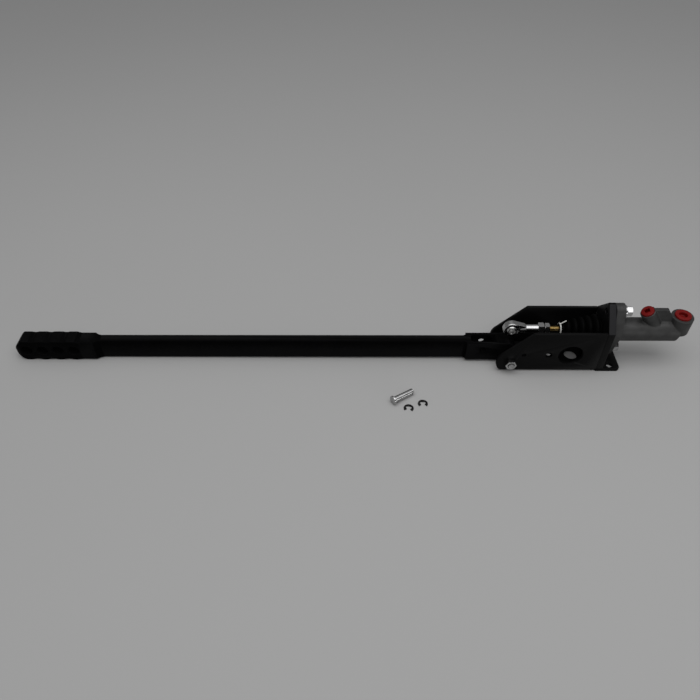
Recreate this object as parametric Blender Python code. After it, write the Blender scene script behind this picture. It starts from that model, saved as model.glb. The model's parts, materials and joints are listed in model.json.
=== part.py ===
"""Long hydraulic hand brake lever on a folded steel bracket.

The milled lever is folded down to -X and rests with its grip on the table. The clevis pin and its
two E-clips are taken out and lie in front of it. X runs along the lever and the cylinder, Y is
across, Z is up. The origin is on the bracket's underside, straight below the lever's pivot.
"""
import math

import bmesh
import bpy
from mathutils import Matrix, Vector

MM = 0.001

# Clearances
SEAT = 0.3 * MM             # between two pieces that touch on the real object
RUN = 0.3 * MM              # radial, round a shaft that turns or slides
CUT = 2.0 * MM              # how far a cutter reaches past what it cuts
WELD = 0.003 * MM           # corners closer than this are one

# Facets in a full turn
FACETS_LARGE = 32
FACETS_MIDDLE = 24
FACETS_SMALL = 16

# Folded steel bracket
SHEET = 4.0 * MM
BRACKET_WIDTH = 56.0 * MM
BRACKET_TOP = 66.5 * MM
BEND_RADIUS = 0.5 * MM
NOSE_RADIUS = 18.5 * MM
NOSE_SLOPE = math.radians(45.5)
SIDE_END = 115.7 * MM
BASE_END = 148.5 * MM
BASE_CORNER = 5.5 * MM
SIDE_HOLE_Z = 29.5 * MM
SIDE_HOLES = ((15.5 * MM, 3.0 * MM), (48.0 * MM, 4.5 * MM), (76.5 * MM, 16.0 * MM))
BASE_HOLES = ((60.5 * MM, 4.5 * MM), (89.0 * MM, 9.0 * MM))
MOUNT_HOLE_X = 136.0 * MM
MOUNT_HOLE_INSET = 7.5 * MM
MOUNT_HOLE_RADIUS = 4.25 * MM

# Plate that carries the cylinder
PLATE_THICK = 9.2 * MM
PLATE_FLAT = 2.0 * MM       # half width of the flat on top
PLATE_SLOPE = math.radians(47.6)
EDGE = 0.8 * MM

# Pivot
PIVOT_Z = 16.2 * MM
PIVOT_BOLT_RADIUS = 4.0 * MM
PIVOT_HEX = 13.0 * MM       # across flats
PIVOT_HEAD = 5.3 * MM
PIVOT_NUT = 6.6 * MM
PIVOT_THREAD_END = 1.2 * MM
SPACER_RADIUS = 7.0 * MM
BUSH_WALL = 1.6 * MM

# Lever, measured from its pivot along the folded lever
LEVER_BELOW = 11.8 * MM
LEVER_ABOVE = 16.9 * MM
LEVER_END_RADIUS = 11.8 * MM
LEVER_END_RELIEF = 45.0     # degrees up the round end where the slope to the top starts
BAR_THICK = 12.0 * MM
GRIP_THICK = 21.0 * MM
GRIP_TIP = -661.4 * MM
GRIP_END = -553.0 * MM
GRIP_FILLET = 13.0 * MM
GRIP_NOSE = 12.0 * MM
GRIP_WAVES = 4
GRIP_CREST_ABOVE = 3.2 * MM
GRIP_CREST_BELOW = 1.9 * MM
GRIP_FIRST_WAVE = -644.4 * MM
GRIP_PITCH = 20.9 * MM
GRIP_WAVE_DEPTH = 2.1 * MM
GRIP_HOLE_RADIUS = 7.4 * MM
GRIP_HOLE_LIP = 0.9 * MM
GRIP_NOSE_Z = 0.6 * MM        # height of the tip above the pivot line
NOSE_FULL_ABOVE = 0.85       # below one the nose swells fast behind its tip
NOSE_FULL_BELOW = 0.72
NOSE_STEPS = 9
WAVE_STEPS = 8
FORK_THICK = 22.0 * MM
FORK_START = -54.5 * MM
FORK_FILLET = 3.5 * MM
WINDOW_FAR = -50.7 * MM
WINDOW_NEAR = -20.7 * MM
WINDOW_WIDTH = 13.0 * MM
WINDOW_CORNER = 5.0 * MM
PIN_HOLE_X = -34.5 * MM
PIN_HOLE_Z = 5.8 * MM
PIN_HOLE_RADIUS = 4.15 * MM
LEVER_CHAMFER = 0.7 * MM
GRIP_TOUCH = 0.05 * MM

# Master cylinder
AXIS_Z = 51.2 * MM
BORE_RADIUS = 9.525 * MM
BORE_END = 214.0 * MM
SPIGOT_REACH = 8.8 * MM      # how far it stands into the bracket
SPIGOT_RADIUS = 14.0 * MM
BOOT_GROOVE = 1.2 * MM
BOOT_GROOVE_LENGTH = 4.0 * MM
FLANGE_THICK = 12.5 * MM
FLANGE_HUB = 19.0 * MM
FLANGE_EAR = 10.8 * MM
FLANGE_BOLT_SPAN = 31.0 * MM
BODY_RADIUS = 15.6 * MM
BODY_END = 221.0 * MM
BODY_CHAMFER = 7.0 * MM
INLET_X = 216.8 * MM
INLET_RADIUS = 14.0 * MM
INLET_BOTTOM = 46.0 * MM
INLET_TOP = 74.3 * MM
INLET_HOLE = 10.5 * MM
INLET_DEPTH = 9.0 * MM
OUTLET_LEAN = math.radians(34)
OUTLET_RADIUS = 9.6 * MM
OUTLET_RIM_X = 169.5 * MM
OUTLET_RIM_Z = 81.2 * MM
OUTLET_HOLE = 5.0 * MM
OUTLET_DEPTH = 13.0 * MM
OUTLET_SEAT_RADIUS = 8.3 * MM
OUTLET_SEAT_DEPTH = 0.8 * MM
PORT_PASSAGE = 2.0 * MM
RIB_THICK = 5.5 * MM
RIB_TOP = 85.8 * MM
RIB_FROM = 178.3 * MM
RIB_TO = 195.0 * MM

# Flange fasteners
BOLT_RADIUS = 4.0 * MM
BOLT_HEX = 12.0 * MM
BOLT_HEAD = 7.0 * MM
WASHER_RADIUS = 8.0 * MM
WASHER_THICK = 2.2 * MM

# Piston group
STROKE = 15.0 * MM
CIRCLIP_THICK = 1.2 * MM
CIRCLIP_LIP = 1.0 * MM
CIRCLIP_SET_IN = 2.5 * MM
STOP_WASHER_THICK = 1.6 * MM
PISTON_LENGTH = 34.0 * MM
PISTON_NOSE_LENGTH = 4.0 * MM
PISTON_NOSE_RADIUS = 5.0 * MM
SEAL_GROOVE = 3.4 * MM
SEAL_DEPTH = 2.4 * MM
REAR_SEAL_FROM = 4.0 * MM
FRONT_SEAL_FROM = 27.5 * MM
BALL_RADIUS = 5.6 * MM
STEM_RADIUS = 1.6 * MM
STEM_HEAD_RADIUS = 3.2 * MM
STEM_HEAD = 2.5 * MM
THIMBLE_WALL = 0.9 * MM
THIMBLE_LENGTH = 11.5 * MM
THIMBLE_FLANGE = 8.6 * MM
VALVE_SEAL_THICK = 2.4 * MM
SPACER_THICK = 1.4 * MM
SPRING_WIRE = 1.5 * MM
SPRING_RADIUS = 7.4 * MM
SPRING_TURNS = 8.0

# Pushrod and rod end
ROD_RADIUS = 4.0 * MM
EYE_RADIUS = 11.0 * MM
EYE_THICK = 9.0 * MM
EYE_BALL = 8.0 * MM
EYE_BALL_WIDTH = 12.0 * MM
EYE_BORE = 4.1 * MM
SHANK_RADIUS = 6.2 * MM
SHANK_HEX = 14.0 * MM
SHANK_HEX_START = 34.0 * MM
SHANK_END = 42.7 * MM
ROD_START = 20.0 * MM
JAM_HEX = 13.0 * MM
JAM_THICK = 6.2 * MM

# Bellows boot
BOOT_START = 61.5 * MM
BOOT_NOSE_LENGTH = 6.0 * MM
BOOT_WALL = 1.3 * MM
BOOT_FOLDS = 5
BOOT_FOLD_DEPTH = 4.6 * MM
BOOT_LIP_WALL = 1.0 * MM     # rubber outside the spigot, and over the nose
TIE_WIDTH = 2.6 * MM
TIE_THICK = 1.1 * MM
TIE_TAIL = 12.0 * MM

# Plugs
PLUG_STAND = 2.5 * MM        # how far the inlet plug stands out of its hole
PLUG_RECESS = 4.0 * MM
PLUG_HEAD = 3.0 * MM
PLUG_DIMPLE = 1.6 * MM

# Loose clevis pin and E-clips
PIN_RADIUS = 4.0 * MM
PIN_SHANK = 30.3 * MM
PIN_HEAD_RADIUS = 6.0 * MM
PIN_HEAD = 2.0 * MM
PIN_GROOVE_FROM_TIP = 4.0 * MM
PIN_GROOVE_WIDTH = 1.0 * MM
PIN_GROOVE_DEPTH = 0.9 * MM
PIN_PLACE = (-157.2 * MM, -86.4 * MM)
PIN_HEADING = math.radians(34)
CLIP_RADIUS = 6.3 * MM
CLIP_THICK = 0.9 * MM
CLIP_OPENING = math.radians(50)
CLIP_PLACES = ((-137.0 * MM, -94.0 * MM, 8.0), (-118.5 * MM, -86.5 * MM, -12.0))

# Places that follow from the sizes above
INNER_HALF = BRACKET_WIDTH / 2 - SHEET
MOUNT_HOLE_Y = BRACKET_WIDTH / 2 - MOUNT_HOLE_INSET
PLATE_FROM = SIDE_END + SEAT
PLATE_TO = PLATE_FROM + PLATE_THICK
PLATE_APEX = BRACKET_TOP + (BRACKET_WIDTH / 2 - PLATE_FLAT) * math.tan(PLATE_SLOPE)
FLANGE_FROM = PLATE_TO + SEAT
FLANGE_TO = FLANGE_FROM + FLANGE_THICK
SPIGOT_START = PLATE_FROM - SPIGOT_REACH
CIRCLIP_FROM = SPIGOT_START + CIRCLIP_SET_IN
STOP_FROM = CIRCLIP_FROM + CIRCLIP_THICK + SEAT
PISTON_FROM = STOP_FROM + STOP_WASHER_THICK + SEAT
PISTON_SHOULDER = PISTON_FROM + PISTON_LENGTH
PISTON_TIP = PISTON_SHOULDER + PISTON_NOSE_LENGTH
PISTON_RADIUS = BORE_RADIUS - RUN
SOCKET_DEPTH = 2.3 * BALL_RADIUS
BALL_X = PISTON_FROM + SOCKET_DEPTH - SEAT - BALL_RADIUS
THIMBLE_FROM = PISTON_SHOULDER + SEAT
THIMBLE_INNER = PISTON_NOSE_RADIUS + SEAT
THIMBLE_OUTER = THIMBLE_INNER + THIMBLE_WALL
THIMBLE_TO = THIMBLE_FROM + THIMBLE_LENGTH
STEM_FROM = THIMBLE_TO - THIMBLE_WALL - SEAT - STEM_HEAD
STEM_TO = BORE_END - SEAT
STEM_COLLAR = 1.4 * MM
VALVE_SEAL_TO = STEM_TO - STEM_COLLAR - SEAT
VALVE_SEAL_FROM = VALVE_SEAL_TO - VALVE_SEAL_THICK
SPACER_TO = VALVE_SEAL_FROM - SEAT
SPACER_FROM = SPACER_TO - SPACER_THICK
SPRING_FROM = THIMBLE_FROM + THIMBLE_WALL + SEAT + SPRING_WIRE / 2
SPRING_TO = SPACER_FROM - SEAT - SPRING_WIRE / 2
JAM_FROM = SHANK_END + SEAT
BOOT_END = PLATE_FROM - SEAT
BOOT_LIP = BOOT_END - BOOT_GROOVE_LENGTH
BOOT_NOSE = ROD_RADIUS + SEAT + 2 * BOOT_WALL
BOOT_FIRST_CREST = BOOT_NOSE + BOOT_LIP_WALL + BOOT_FOLD_DEPTH
BOOT_LAST_CREST = SPIGOT_RADIUS + BOOT_LIP_WALL + BOOT_FOLD_DEPTH
PIVOT = Vector((0.0, 0.0, PIVOT_Z))


def grip_tilt():
    """Angle that lets the folded lever's lowest grip crest touch the table."""
    lowest = LEVER_BELOW + GRIP_CREST_BELOW
    reach = math.hypot(GRIP_FIRST_WAVE, lowest)
    return math.asin((PIVOT_Z - GRIP_TOUCH) / reach) - math.atan2(lowest, -GRIP_FIRST_WAVE)


def clear_scene():
    for item in list(bpy.data.objects):
        bpy.data.objects.remove(item, do_unlink=True)


def material(name, colour, roughness, metallic=0.0):
    """One plain Principled finish."""
    made = bpy.data.materials.new(name)
    made.use_nodes = True
    shader = made.node_tree.nodes["Principled BSDF"]
    shader.inputs["Base Color"].default_value = (*colour, 1.0)
    shader.inputs["Roughness"].default_value = roughness
    shader.inputs["Metallic"].default_value = metallic
    return made


def add_object(name, mesh_data):
    made = bpy.data.objects.new(name, mesh_data)
    bpy.context.scene.collection.objects.link(made)
    return made


def from_bmesh(name, shape):
    bmesh.ops.recalc_face_normals(shape, faces=shape.faces)
    mesh_data = bpy.data.meshes.new(name)
    shape.to_mesh(mesh_data)
    shape.free()
    return add_object(name, mesh_data)


def arc(centre, radius, start, end, steps):
    """Points of an arc, angles in degrees, both ends included."""
    points = []
    for step in range(steps + 1):
        angle = math.radians(start + (end - start) * step / steps)
        points.append((centre[0] + radius * math.cos(angle), centre[1] + radius * math.sin(angle)))
    return points


def extruded(name, outline, axis, low, high):
    """Solid between two planes across an axis; the outline lies in the other two axes."""
    shape = bmesh.new()
    order = {"X": lambda a, b, t: (t, a, b), "Y": lambda a, b, t: (a, t, b), "Z": lambda a, b, t: (a, b, t)}
    place = order[axis]
    ring = [shape.verts.new(place(a, b, low)) for a, b in outline]
    face = shape.faces.new(ring)
    grown = bmesh.ops.extrude_face_region(shape, geom=[face])
    moved = [item for item in grown["geom"] if isinstance(item, bmesh.types.BMVert)]
    shift = Vector(place(0.0, 0.0, high - low))
    bmesh.ops.translate(shape, verts=moved, vec=shift)
    return from_bmesh(name, shape)


def turned(name, profile, segments, centre=(0.0, 0.0, 0.0), heading=(1.0, 0.0, 0.0)):
    """Closed profile of (along, radius) points spun about the heading through the centre."""
    shape = bmesh.new()
    ring = [shape.verts.new((along, 0.0, max(radius, 0.0))) for along, radius in profile]
    edges = []
    for first, second in zip(ring, ring[1:] + ring[:1]):
        if first.co.z > 1e-9 or second.co.z > 1e-9:
            edges.append(shape.edges.new((first, second)))
    bmesh.ops.spin(shape, geom=ring + edges, cent=(0, 0, 0), axis=(1, 0, 0), angle=math.tau,
                   steps=segments, use_merge=True)
    bmesh.ops.remove_doubles(shape, verts=shape.verts, dist=1e-6)
    bmesh.ops.dissolve_degenerate(shape, edges=shape.edges, dist=1e-7)
    turn = Vector((1, 0, 0)).rotation_difference(Vector(heading).normalized()).to_matrix().to_4x4()
    bmesh.ops.transform(shape, matrix=Matrix.Translation(centre) @ turn, verts=shape.verts)
    return from_bmesh(name, shape)


def cylinder(name, start, end, radius, segments):
    """Plain round bar from one point to another."""
    start, end = Vector(start), Vector(end)
    length = (end - start).length
    profile = [(0.0, 0.0), (0.0, radius), (length, radius), (length, 0.0)]
    return turned(name, profile, segments, start, end - start)


def hexagon(across, centre=(0.0, 0.0), point_up=False):
    """Outline of a hexagon by its width across flats."""
    corner = across / math.sqrt(3)
    start = 90 if point_up else 0
    return [(centre[0] + corner * math.cos(math.radians(start + 60 * side)),
             centre[1] + corner * math.sin(math.radians(start + 60 * side))) for side in range(6)]


def welded(mesh_data):
    """Merge the doubled corners that a cut can leave."""
    shape = bmesh.new()
    shape.from_mesh(mesh_data)
    bmesh.ops.remove_doubles(shape, verts=shape.verts, dist=WELD)
    bmesh.ops.dissolve_degenerate(shape, edges=shape.edges, dist=WELD)
    shape.to_mesh(mesh_data)
    shape.free()
    return mesh_data


def combine(target, others, operation):
    """Boolean by the exact solver, applied; the other shapes are used up."""
    for other in others:
        change = target.modifiers.new(operation.lower(), "BOOLEAN")
        change.operation = operation
        change.object = other
        change.solver = "EXACT"
        graph = bpy.context.evaluated_depsgraph_get()
        graph.update()
        result = bpy.data.meshes.new_from_object(target.evaluated_get(graph))
        target.modifiers.remove(change)
        target.data = welded(result)
        bpy.data.objects.remove(other, do_unlink=True)
    return target


def cut(target, *others):
    return combine(target, others, "DIFFERENCE")


def join(target, *others):
    return combine(target, others, "UNION")


def common(target, *others):
    return combine(target, others, "INTERSECT")


def edge_break(target, width, angle=50.0, segments=1):
    """Small chamfer on the sharp edges, kept as a live modifier."""
    change = target.modifiers.new("edge_break", "BEVEL")
    change.width = width
    change.segments = segments
    change.limit_method = "ANGLE"
    change.angle_limit = math.radians(angle)
    change.harden_normals = False
    return target


def finish(target, name, finish_material, smooth_angle=None):
    """Name, finish and shading of one sub-part."""
    target.name = name
    target.data.name = name
    target.data.materials.clear()
    target.data.materials.append(finish_material)
    if smooth_angle:
        for face in target.data.polygons:
            face.use_smooth = True
        target.data.set_sharp_from_angle(angle=math.radians(smooth_angle))
    return target


def bracket_side_outline():
    """Side view of the folded channel: round nose, slope, flat top, square end."""
    half_turn = 180.0
    leave = half_turn / 2 + math.degrees(NOSE_SLOPE)
    low = half_turn + math.degrees(math.asin(PIVOT_Z / NOSE_RADIUS))
    nose = arc((0.0, PIVOT_Z), NOSE_RADIUS, leave, low, 18)
    start_x, start_z = nose[0]
    top_x = start_x + (BRACKET_TOP - start_z) / math.tan(NOSE_SLOPE)
    outline = [(top_x, BRACKET_TOP)] + nose
    outline[-1] = (outline[-1][0], -CUT)
    return outline + [(SIDE_END, -CUT), (SIDE_END, BRACKET_TOP)]


def bracket_section():
    """End view of the folded channel with its bend radii."""
    half = BRACKET_WIDTH / 2
    outer = BEND_RADIUS + SHEET
    right = arc((half - outer, outer), outer, -90, 0, 5)
    inner = arc((half - outer, outer), BEND_RADIUS, 0, -90, 3)
    side = right + [(half, BRACKET_TOP + CUT), (INNER_HALF, BRACKET_TOP + CUT)] + inner
    mirrored = [(-y, z) for y, z in reversed(side)]
    return side + mirrored


def make_bracket(steel):
    section = extruded("channel", bracket_section(), "X", -NOSE_RADIUS - CUT, SIDE_END + CUT)
    sides = extruded("side_outline", bracket_side_outline(), "Y", -BRACKET_WIDTH, BRACKET_WIDTH)
    channel = common(section, sides)
    half = BRACKET_WIDTH / 2
    tail = [(SIDE_END - BASE_CORNER, half - SHEET)]
    tail += [(SIDE_END, half - SHEET), (SIDE_END + SEAT, half)]
    tail += arc((BASE_END - BASE_CORNER, half - BASE_CORNER), BASE_CORNER, 90, 0, 6)
    tail += [(x, -y) for x, y in reversed(tail)]
    channel = join(channel, extruded("tail", tail, "Z", 0.0, SHEET))
    cutters = [cylinder("hole", (0, -half - CUT, PIVOT_Z), (0, half + CUT, PIVOT_Z),
                        PIVOT_BOLT_RADIUS + RUN, FACETS_SMALL)]
    for x, radius in SIDE_HOLES:
        cutters.append(cylinder("hole", (x, -half - CUT, SIDE_HOLE_Z), (x, half + CUT, SIDE_HOLE_Z), radius,
                                FACETS_LARGE if radius > SHEET * 2 else FACETS_SMALL))
    holes = [(x, 0.0, radius) for x, radius in BASE_HOLES]
    holes += [(MOUNT_HOLE_X, side * MOUNT_HOLE_Y, MOUNT_HOLE_RADIUS) for side in (-1, 1)]
    for x, y, radius in holes:
        cutters.append(cylinder("hole", (x, y, -CUT), (x, y, SHEET + CUT), radius, FACETS_SMALL))
    cut(channel, *cutters)
    return finish(channel, "bracket_channel", steel, 40)


def make_cylinder_plate(steel):
    """House-shaped plate across the bracket's end; it carries the master cylinder."""
    half = BRACKET_WIDTH / 2
    low = SHEET + SEAT
    outline = [(-half, low), (half, low), (half, BRACKET_TOP), (PLATE_FLAT, PLATE_APEX)]
    outline += [(-PLATE_FLAT, PLATE_APEX), (-half, BRACKET_TOP)]
    plate = extruded("plate", outline, "X", PLATE_FROM, PLATE_TO)
    edge_break(plate, EDGE, 30)
    graph = bpy.context.evaluated_depsgraph_get()
    plate.data = bpy.data.meshes.new_from_object(plate.evaluated_get(graph))
    plate.modifiers.clear()
    holes = [cylinder("hole", (PLATE_FROM - CUT, 0, AXIS_Z), (PLATE_TO + CUT, 0, AXIS_Z),
                      SPIGOT_RADIUS + SEAT, FACETS_LARGE)]
    for side in (-1, 1):
        z = AXIS_Z + side * FLANGE_BOLT_SPAN
        holes.append(cylinder("hole", (PLATE_FROM - CUT, 0, z), (PLATE_TO + CUT, 0, z), BOLT_RADIUS + SEAT, FACETS_SMALL))
    cut(plate, *holes)
    return finish(plate, "cylinder_plate", steel, 40)


def flange_outline():
    """Two-bolt diamond: ears above and below the hub, joined by tangents."""
    slope = math.degrees(math.asin((FLANGE_HUB - FLANGE_EAR) / FLANGE_BOLT_SPAN))
    hub, ear = (0.0, AXIS_Z), (0.0, AXIS_Z + FLANGE_BOLT_SPAN)
    low_ear = (0.0, AXIS_Z - FLANGE_BOLT_SPAN)
    half_turn = 180.0
    outline = arc(hub, FLANGE_HUB, -slope, slope, 4)
    outline += arc(ear, FLANGE_EAR, slope, half_turn - slope, 10)
    outline += arc(hub, FLANGE_HUB, half_turn - slope, half_turn + slope, 4)
    outline += arc(low_ear, FLANGE_EAR, half_turn + slope, 2 * half_turn - slope, 10)
    return outline


def outlet_axis():
    """Rim centre of the leaning outlet boss, and the way it points."""
    return Vector((OUTLET_RIM_X, 0, OUTLET_RIM_Z)), Vector((-math.sin(OUTLET_LEAN), 0, math.cos(OUTLET_LEAN)))


def make_cylinder_body(iron):
    profile = [(SPIGOT_START, 0.0), (SPIGOT_START, SPIGOT_RADIUS - EDGE), (SPIGOT_START + EDGE, SPIGOT_RADIUS)]
    profile += [(BOOT_LIP - SEAT, SPIGOT_RADIUS), (BOOT_LIP - SEAT, SPIGOT_RADIUS - BOOT_GROOVE)]
    profile += [(BOOT_END + SEAT, SPIGOT_RADIUS - BOOT_GROOVE), (BOOT_END + SEAT, SPIGOT_RADIUS)]
    profile += [(FLANGE_FROM + CUT, SPIGOT_RADIUS), (FLANGE_FROM + CUT, BODY_RADIUS), (BODY_END - BODY_CHAMFER, BODY_RADIUS)]
    profile += [(BODY_END, BODY_RADIUS - BODY_CHAMFER), (BODY_END, 0.0)]
    body = turned("body", profile, FACETS_LARGE, (0, 0, AXIS_Z))
    flange = extruded("flange", flange_outline(), "X", FLANGE_FROM, FLANGE_TO)
    edge_break(flange, EDGE * 1.5, 60)
    graph = bpy.context.evaluated_depsgraph_get()
    flange.data = bpy.data.meshes.new_from_object(flange.evaluated_get(graph))
    flange.modifiers.clear()

    crown = INLET_RADIUS * 0.35
    boss = [(INLET_BOTTOM, 0.0), (INLET_BOTTOM, INLET_RADIUS - crown)]
    boss += [(INLET_BOTTOM + crown, INLET_RADIUS), (INLET_TOP - EDGE, INLET_RADIUS)]
    boss += [(INLET_TOP, INLET_RADIUS - EDGE), (INLET_TOP, 0.0)]
    inlet = turned("inlet", boss, FACETS_LARGE, (INLET_X, 0, 0), (0, 0, 1))

    rim, lean = outlet_axis()
    reach = (OUTLET_RIM_Z - AXIS_Z) / lean.z
    outlet = cylinder("outlet", rim - lean * reach, rim, OUTLET_RADIUS, FACETS_MIDDLE)
    lean_x = math.tan(OUTLET_LEAN)
    rib_low = AXIS_Z + BODY_RADIUS / 2
    rib = [(OUTLET_RIM_X + (OUTLET_RIM_Z - rib_low) * lean_x, rib_low)]
    rib += [(OUTLET_RIM_X + OUTLET_RADIUS / 2, OUTLET_RIM_Z - OUTLET_RADIUS / 2), (RIB_FROM, RIB_TOP)]
    rib += [(RIB_TO, RIB_TOP), (INLET_X - INLET_RADIUS * 0.8, INLET_TOP - EDGE * 4), (INLET_X - INLET_RADIUS * 0.8, rib_low)]
    web = extruded("rib", rib, "Y", -RIB_THICK / 2, RIB_THICK / 2)
    join(body, flange, inlet, outlet, web)

    mouth = [(SPIGOT_START - CUT, 0.0), (SPIGOT_START - CUT, BORE_RADIUS), (CIRCLIP_FROM - SEAT, BORE_RADIUS)]
    groove = BORE_RADIUS + CIRCLIP_LIP + SEAT
    mouth += [(CIRCLIP_FROM - SEAT, groove), (CIRCLIP_FROM + CIRCLIP_THICK + SEAT, groove)]
    mouth += [(CIRCLIP_FROM + CIRCLIP_THICK + SEAT, BORE_RADIUS), (BORE_END, BORE_RADIUS), (BORE_END, 0.0)]
    bore = turned("bore", mouth, FACETS_LARGE, (0, 0, AXIS_Z))
    inlet_well = cylinder("well", (INLET_X, 0, INLET_TOP - INLET_DEPTH), (INLET_X, 0, INLET_TOP + CUT),
                          INLET_HOLE, FACETS_MIDDLE)
    feed_x = BORE_END - 2 * PORT_PASSAGE
    feed = cylinder("feed", (feed_x, 0, AXIS_Z), (feed_x, 0, INLET_TOP - INLET_DEPTH / 2), PORT_PASSAGE, FACETS_SMALL)
    outlet_well = cylinder("well", rim - lean * OUTLET_DEPTH, rim + lean * CUT, OUTLET_HOLE, FACETS_SMALL)
    seat = cylinder("seat", rim - lean * OUTLET_SEAT_DEPTH, rim + lean * CUT, OUTLET_SEAT_RADIUS, FACETS_MIDDLE)
    outlet_feed = cylinder("feed", rim - lean * reach, rim - lean * OUTLET_DEPTH / 2, PORT_PASSAGE, FACETS_SMALL)
    bolts = []
    for side in (-1, 1):
        z = AXIS_Z + side * FLANGE_BOLT_SPAN
        bolts.append(cylinder("hole", (FLANGE_FROM - CUT, 0, z), (FLANGE_TO + CUT, 0, z), BOLT_RADIUS + SEAT, FACETS_SMALL))
    cut(body, bore, inlet_well, feed, outlet_well, seat, outlet_feed, *bolts)
    return finish(body, "master_cylinder_body", iron, 35)


def make_plugs(red):
    """Transport plugs: a cup in the inlet, a stepped one in the leaning outlet."""
    low, top = INLET_TOP - INLET_DEPTH + SEAT, INLET_TOP + PLUG_STAND
    wide = INLET_HOLE - SEAT
    profile = [(low, 0.0), (low, wide), (top - EDGE, wide), (top, wide - EDGE), (top, wide - 2 * EDGE)]
    profile += [(top - PLUG_RECESS, wide - 3 * EDGE), (top - PLUG_RECESS, 0.0)]
    inlet = turned("inlet_plug", profile, FACETS_MIDDLE, (INLET_X, 0, 0), (0, 0, 1))
    finish(inlet, "inlet_plug", red, 35)

    rim, lean = outlet_axis()
    under = SEAT - OUTLET_SEAT_DEPTH
    tip, over = under - OUTLET_DEPTH * 0.75, under + PLUG_HEAD
    stem, wide = OUTLET_HOLE - SEAT, OUTLET_SEAT_RADIUS - SEAT
    dimple = wide * 0.45
    profile = [(tip, 0.0), (tip, stem), (under, stem), (under, wide), (over - EDGE, wide), (over, wide - EDGE)]
    profile += [(over, dimple), (over - PLUG_DIMPLE, dimple), (over - PLUG_DIMPLE, 0.0)]
    outlet = turned("outlet_plug", profile, FACETS_MIDDLE, rim, lean)
    finish(outlet, "outlet_plug", red, 35)


def bolt_along(name, head_at, tip_at, across, head, radius):
    """Hex bolt: the head grows backwards from head_at, the shank runs to tip_at."""
    start, end = Vector(head_at), Vector(tip_at)
    way = (end - start).normalized()
    shank = turned(name, [(-head / 2, 0.0), (-head / 2, radius), ((end - start).length - EDGE, radius),
                          ((end - start).length, radius - EDGE), ((end - start).length, 0.0)], FACETS_SMALL, start, way)
    block = extruded("head", hexagon(across), "X", -head, 0.0)
    turn = Vector((1, 0, 0)).rotation_difference(way).to_matrix().to_4x4()
    block.data.transform(Matrix.Translation(start) @ turn)
    return join(shank, block)


def nut_along(name, face_at, way, across, thick, hole):
    """Hex nut that grows from its seat along the way given."""
    way = Vector(way).normalized()
    block = extruded(name, hexagon(across), "X", 0.0, thick)
    turn = Vector((1, 0, 0)).rotation_difference(way).to_matrix().to_4x4()
    block.data.transform(Matrix.Translation(Vector(face_at)) @ turn)
    seat = Vector(face_at)
    return cut(block, cylinder("hole", seat - way * CUT, seat + way * (thick + CUT), hole, FACETS_SMALL))


def make_flange_fasteners(zinc):
    """Two bolts with washers; they end in the plate's threads."""
    outer = FLANGE_TO + SEAT
    for side, place in ((-1, "lower"), (1, "upper")):
        z = AXIS_Z + side * FLANGE_BOLT_SPAN
        ring = [(outer, BOLT_RADIUS + SEAT), (outer, WASHER_RADIUS), (outer + WASHER_THICK, WASHER_RADIUS)]
        ring += [(outer + WASHER_THICK, BOLT_RADIUS + SEAT)]
        washer = turned("washer", ring, FACETS_MIDDLE, (0, 0, z))
        finish(washer, "flange_washer_" + place, zinc, 35)
        head_at = (outer + WASHER_THICK + SEAT, 0, z)
        tip = (PLATE_FROM + EDGE, 0, z)
        bolt = bolt_along("bolt", head_at, tip, BOLT_HEX, BOLT_HEAD, BOLT_RADIUS)
        finish(bolt, "flange_bolt_" + place, zinc, 35)


def make_pivot(zinc, steel, bronze):
    """Bolt, nut, spacers and bushes on the lever's axis."""
    half = BRACKET_WIDTH / 2
    head_y = half + SEAT
    tip_y = -half - SEAT - PIVOT_NUT - PIVOT_THREAD_END
    bolt = bolt_along("pivot_bolt", (0, head_y, PIVOT_Z), (0, tip_y, PIVOT_Z), PIVOT_HEX, PIVOT_HEAD,
                      PIVOT_BOLT_RADIUS)
    finish(bolt, "pivot_bolt", zinc, 35)
    nut = nut_along("pivot_nut", (0, -half - SEAT, PIVOT_Z), (0, -1, 0), PIVOT_HEX, PIVOT_NUT,
                    PIVOT_BOLT_RADIUS + SEAT)
    finish(nut, "pivot_nut", zinc, 35)
    bushes = []
    fork = FORK_THICK / 2
    hole = PIVOT_BOLT_RADIUS + RUN
    for side, place in ((-1, "near"), (1, "far")):
        near, far = fork + SEAT, INNER_HALF - SEAT
        ring = [(near, hole), (near, SPACER_RADIUS), (far, SPACER_RADIUS), (far, hole)]
        spacer = turned("spacer", ring, FACETS_MIDDLE, PIVOT, (0, side, 0))
        finish(spacer, "side_spacer_" + place, steel, 35)
        ring = [(SEAT / 2, hole), (SEAT / 2, hole + BUSH_WALL), (fork, hole + BUSH_WALL), (fork, hole)]
        bush = turned("bush", ring, FACETS_SMALL, (0, 0, 0), (0, side, 0))
        bushes.append(finish(bush, "pivot_bush_" + place, bronze, 35))
    return bushes


def lever_top_outline():
    """Plan of the lever: bullet-nosed grip, milled fillets, slim bar, fork block."""
    grip, bar, fork = GRIP_THICK / 2, BAR_THICK / 2, FORK_THICK / 2
    side = []
    for step in range(9):
        angle = math.radians(90 * step / 8)
        side.append((GRIP_TIP + GRIP_NOSE * (1 - math.cos(angle)), grip * math.sin(angle) ** 0.7))
    side[0] = (GRIP_TIP, 0.0)
    drop = grip - bar
    sweep = math.degrees(math.acos(1 - drop / GRIP_FILLET))
    run = GRIP_FILLET * math.sin(math.radians(sweep))
    side += arc((GRIP_END + run, bar + GRIP_FILLET), GRIP_FILLET, 270 - sweep, 270, 8)
    step_x = FORK_START - FORK_FILLET
    side += arc((step_x, bar + FORK_FILLET), FORK_FILLET, 270, 360, 4)
    side += [(FORK_START, fork), (LEVER_END_RADIUS + CUT, fork)]
    return side + [(x, -y) for x, y in reversed(side[1:])]


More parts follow.
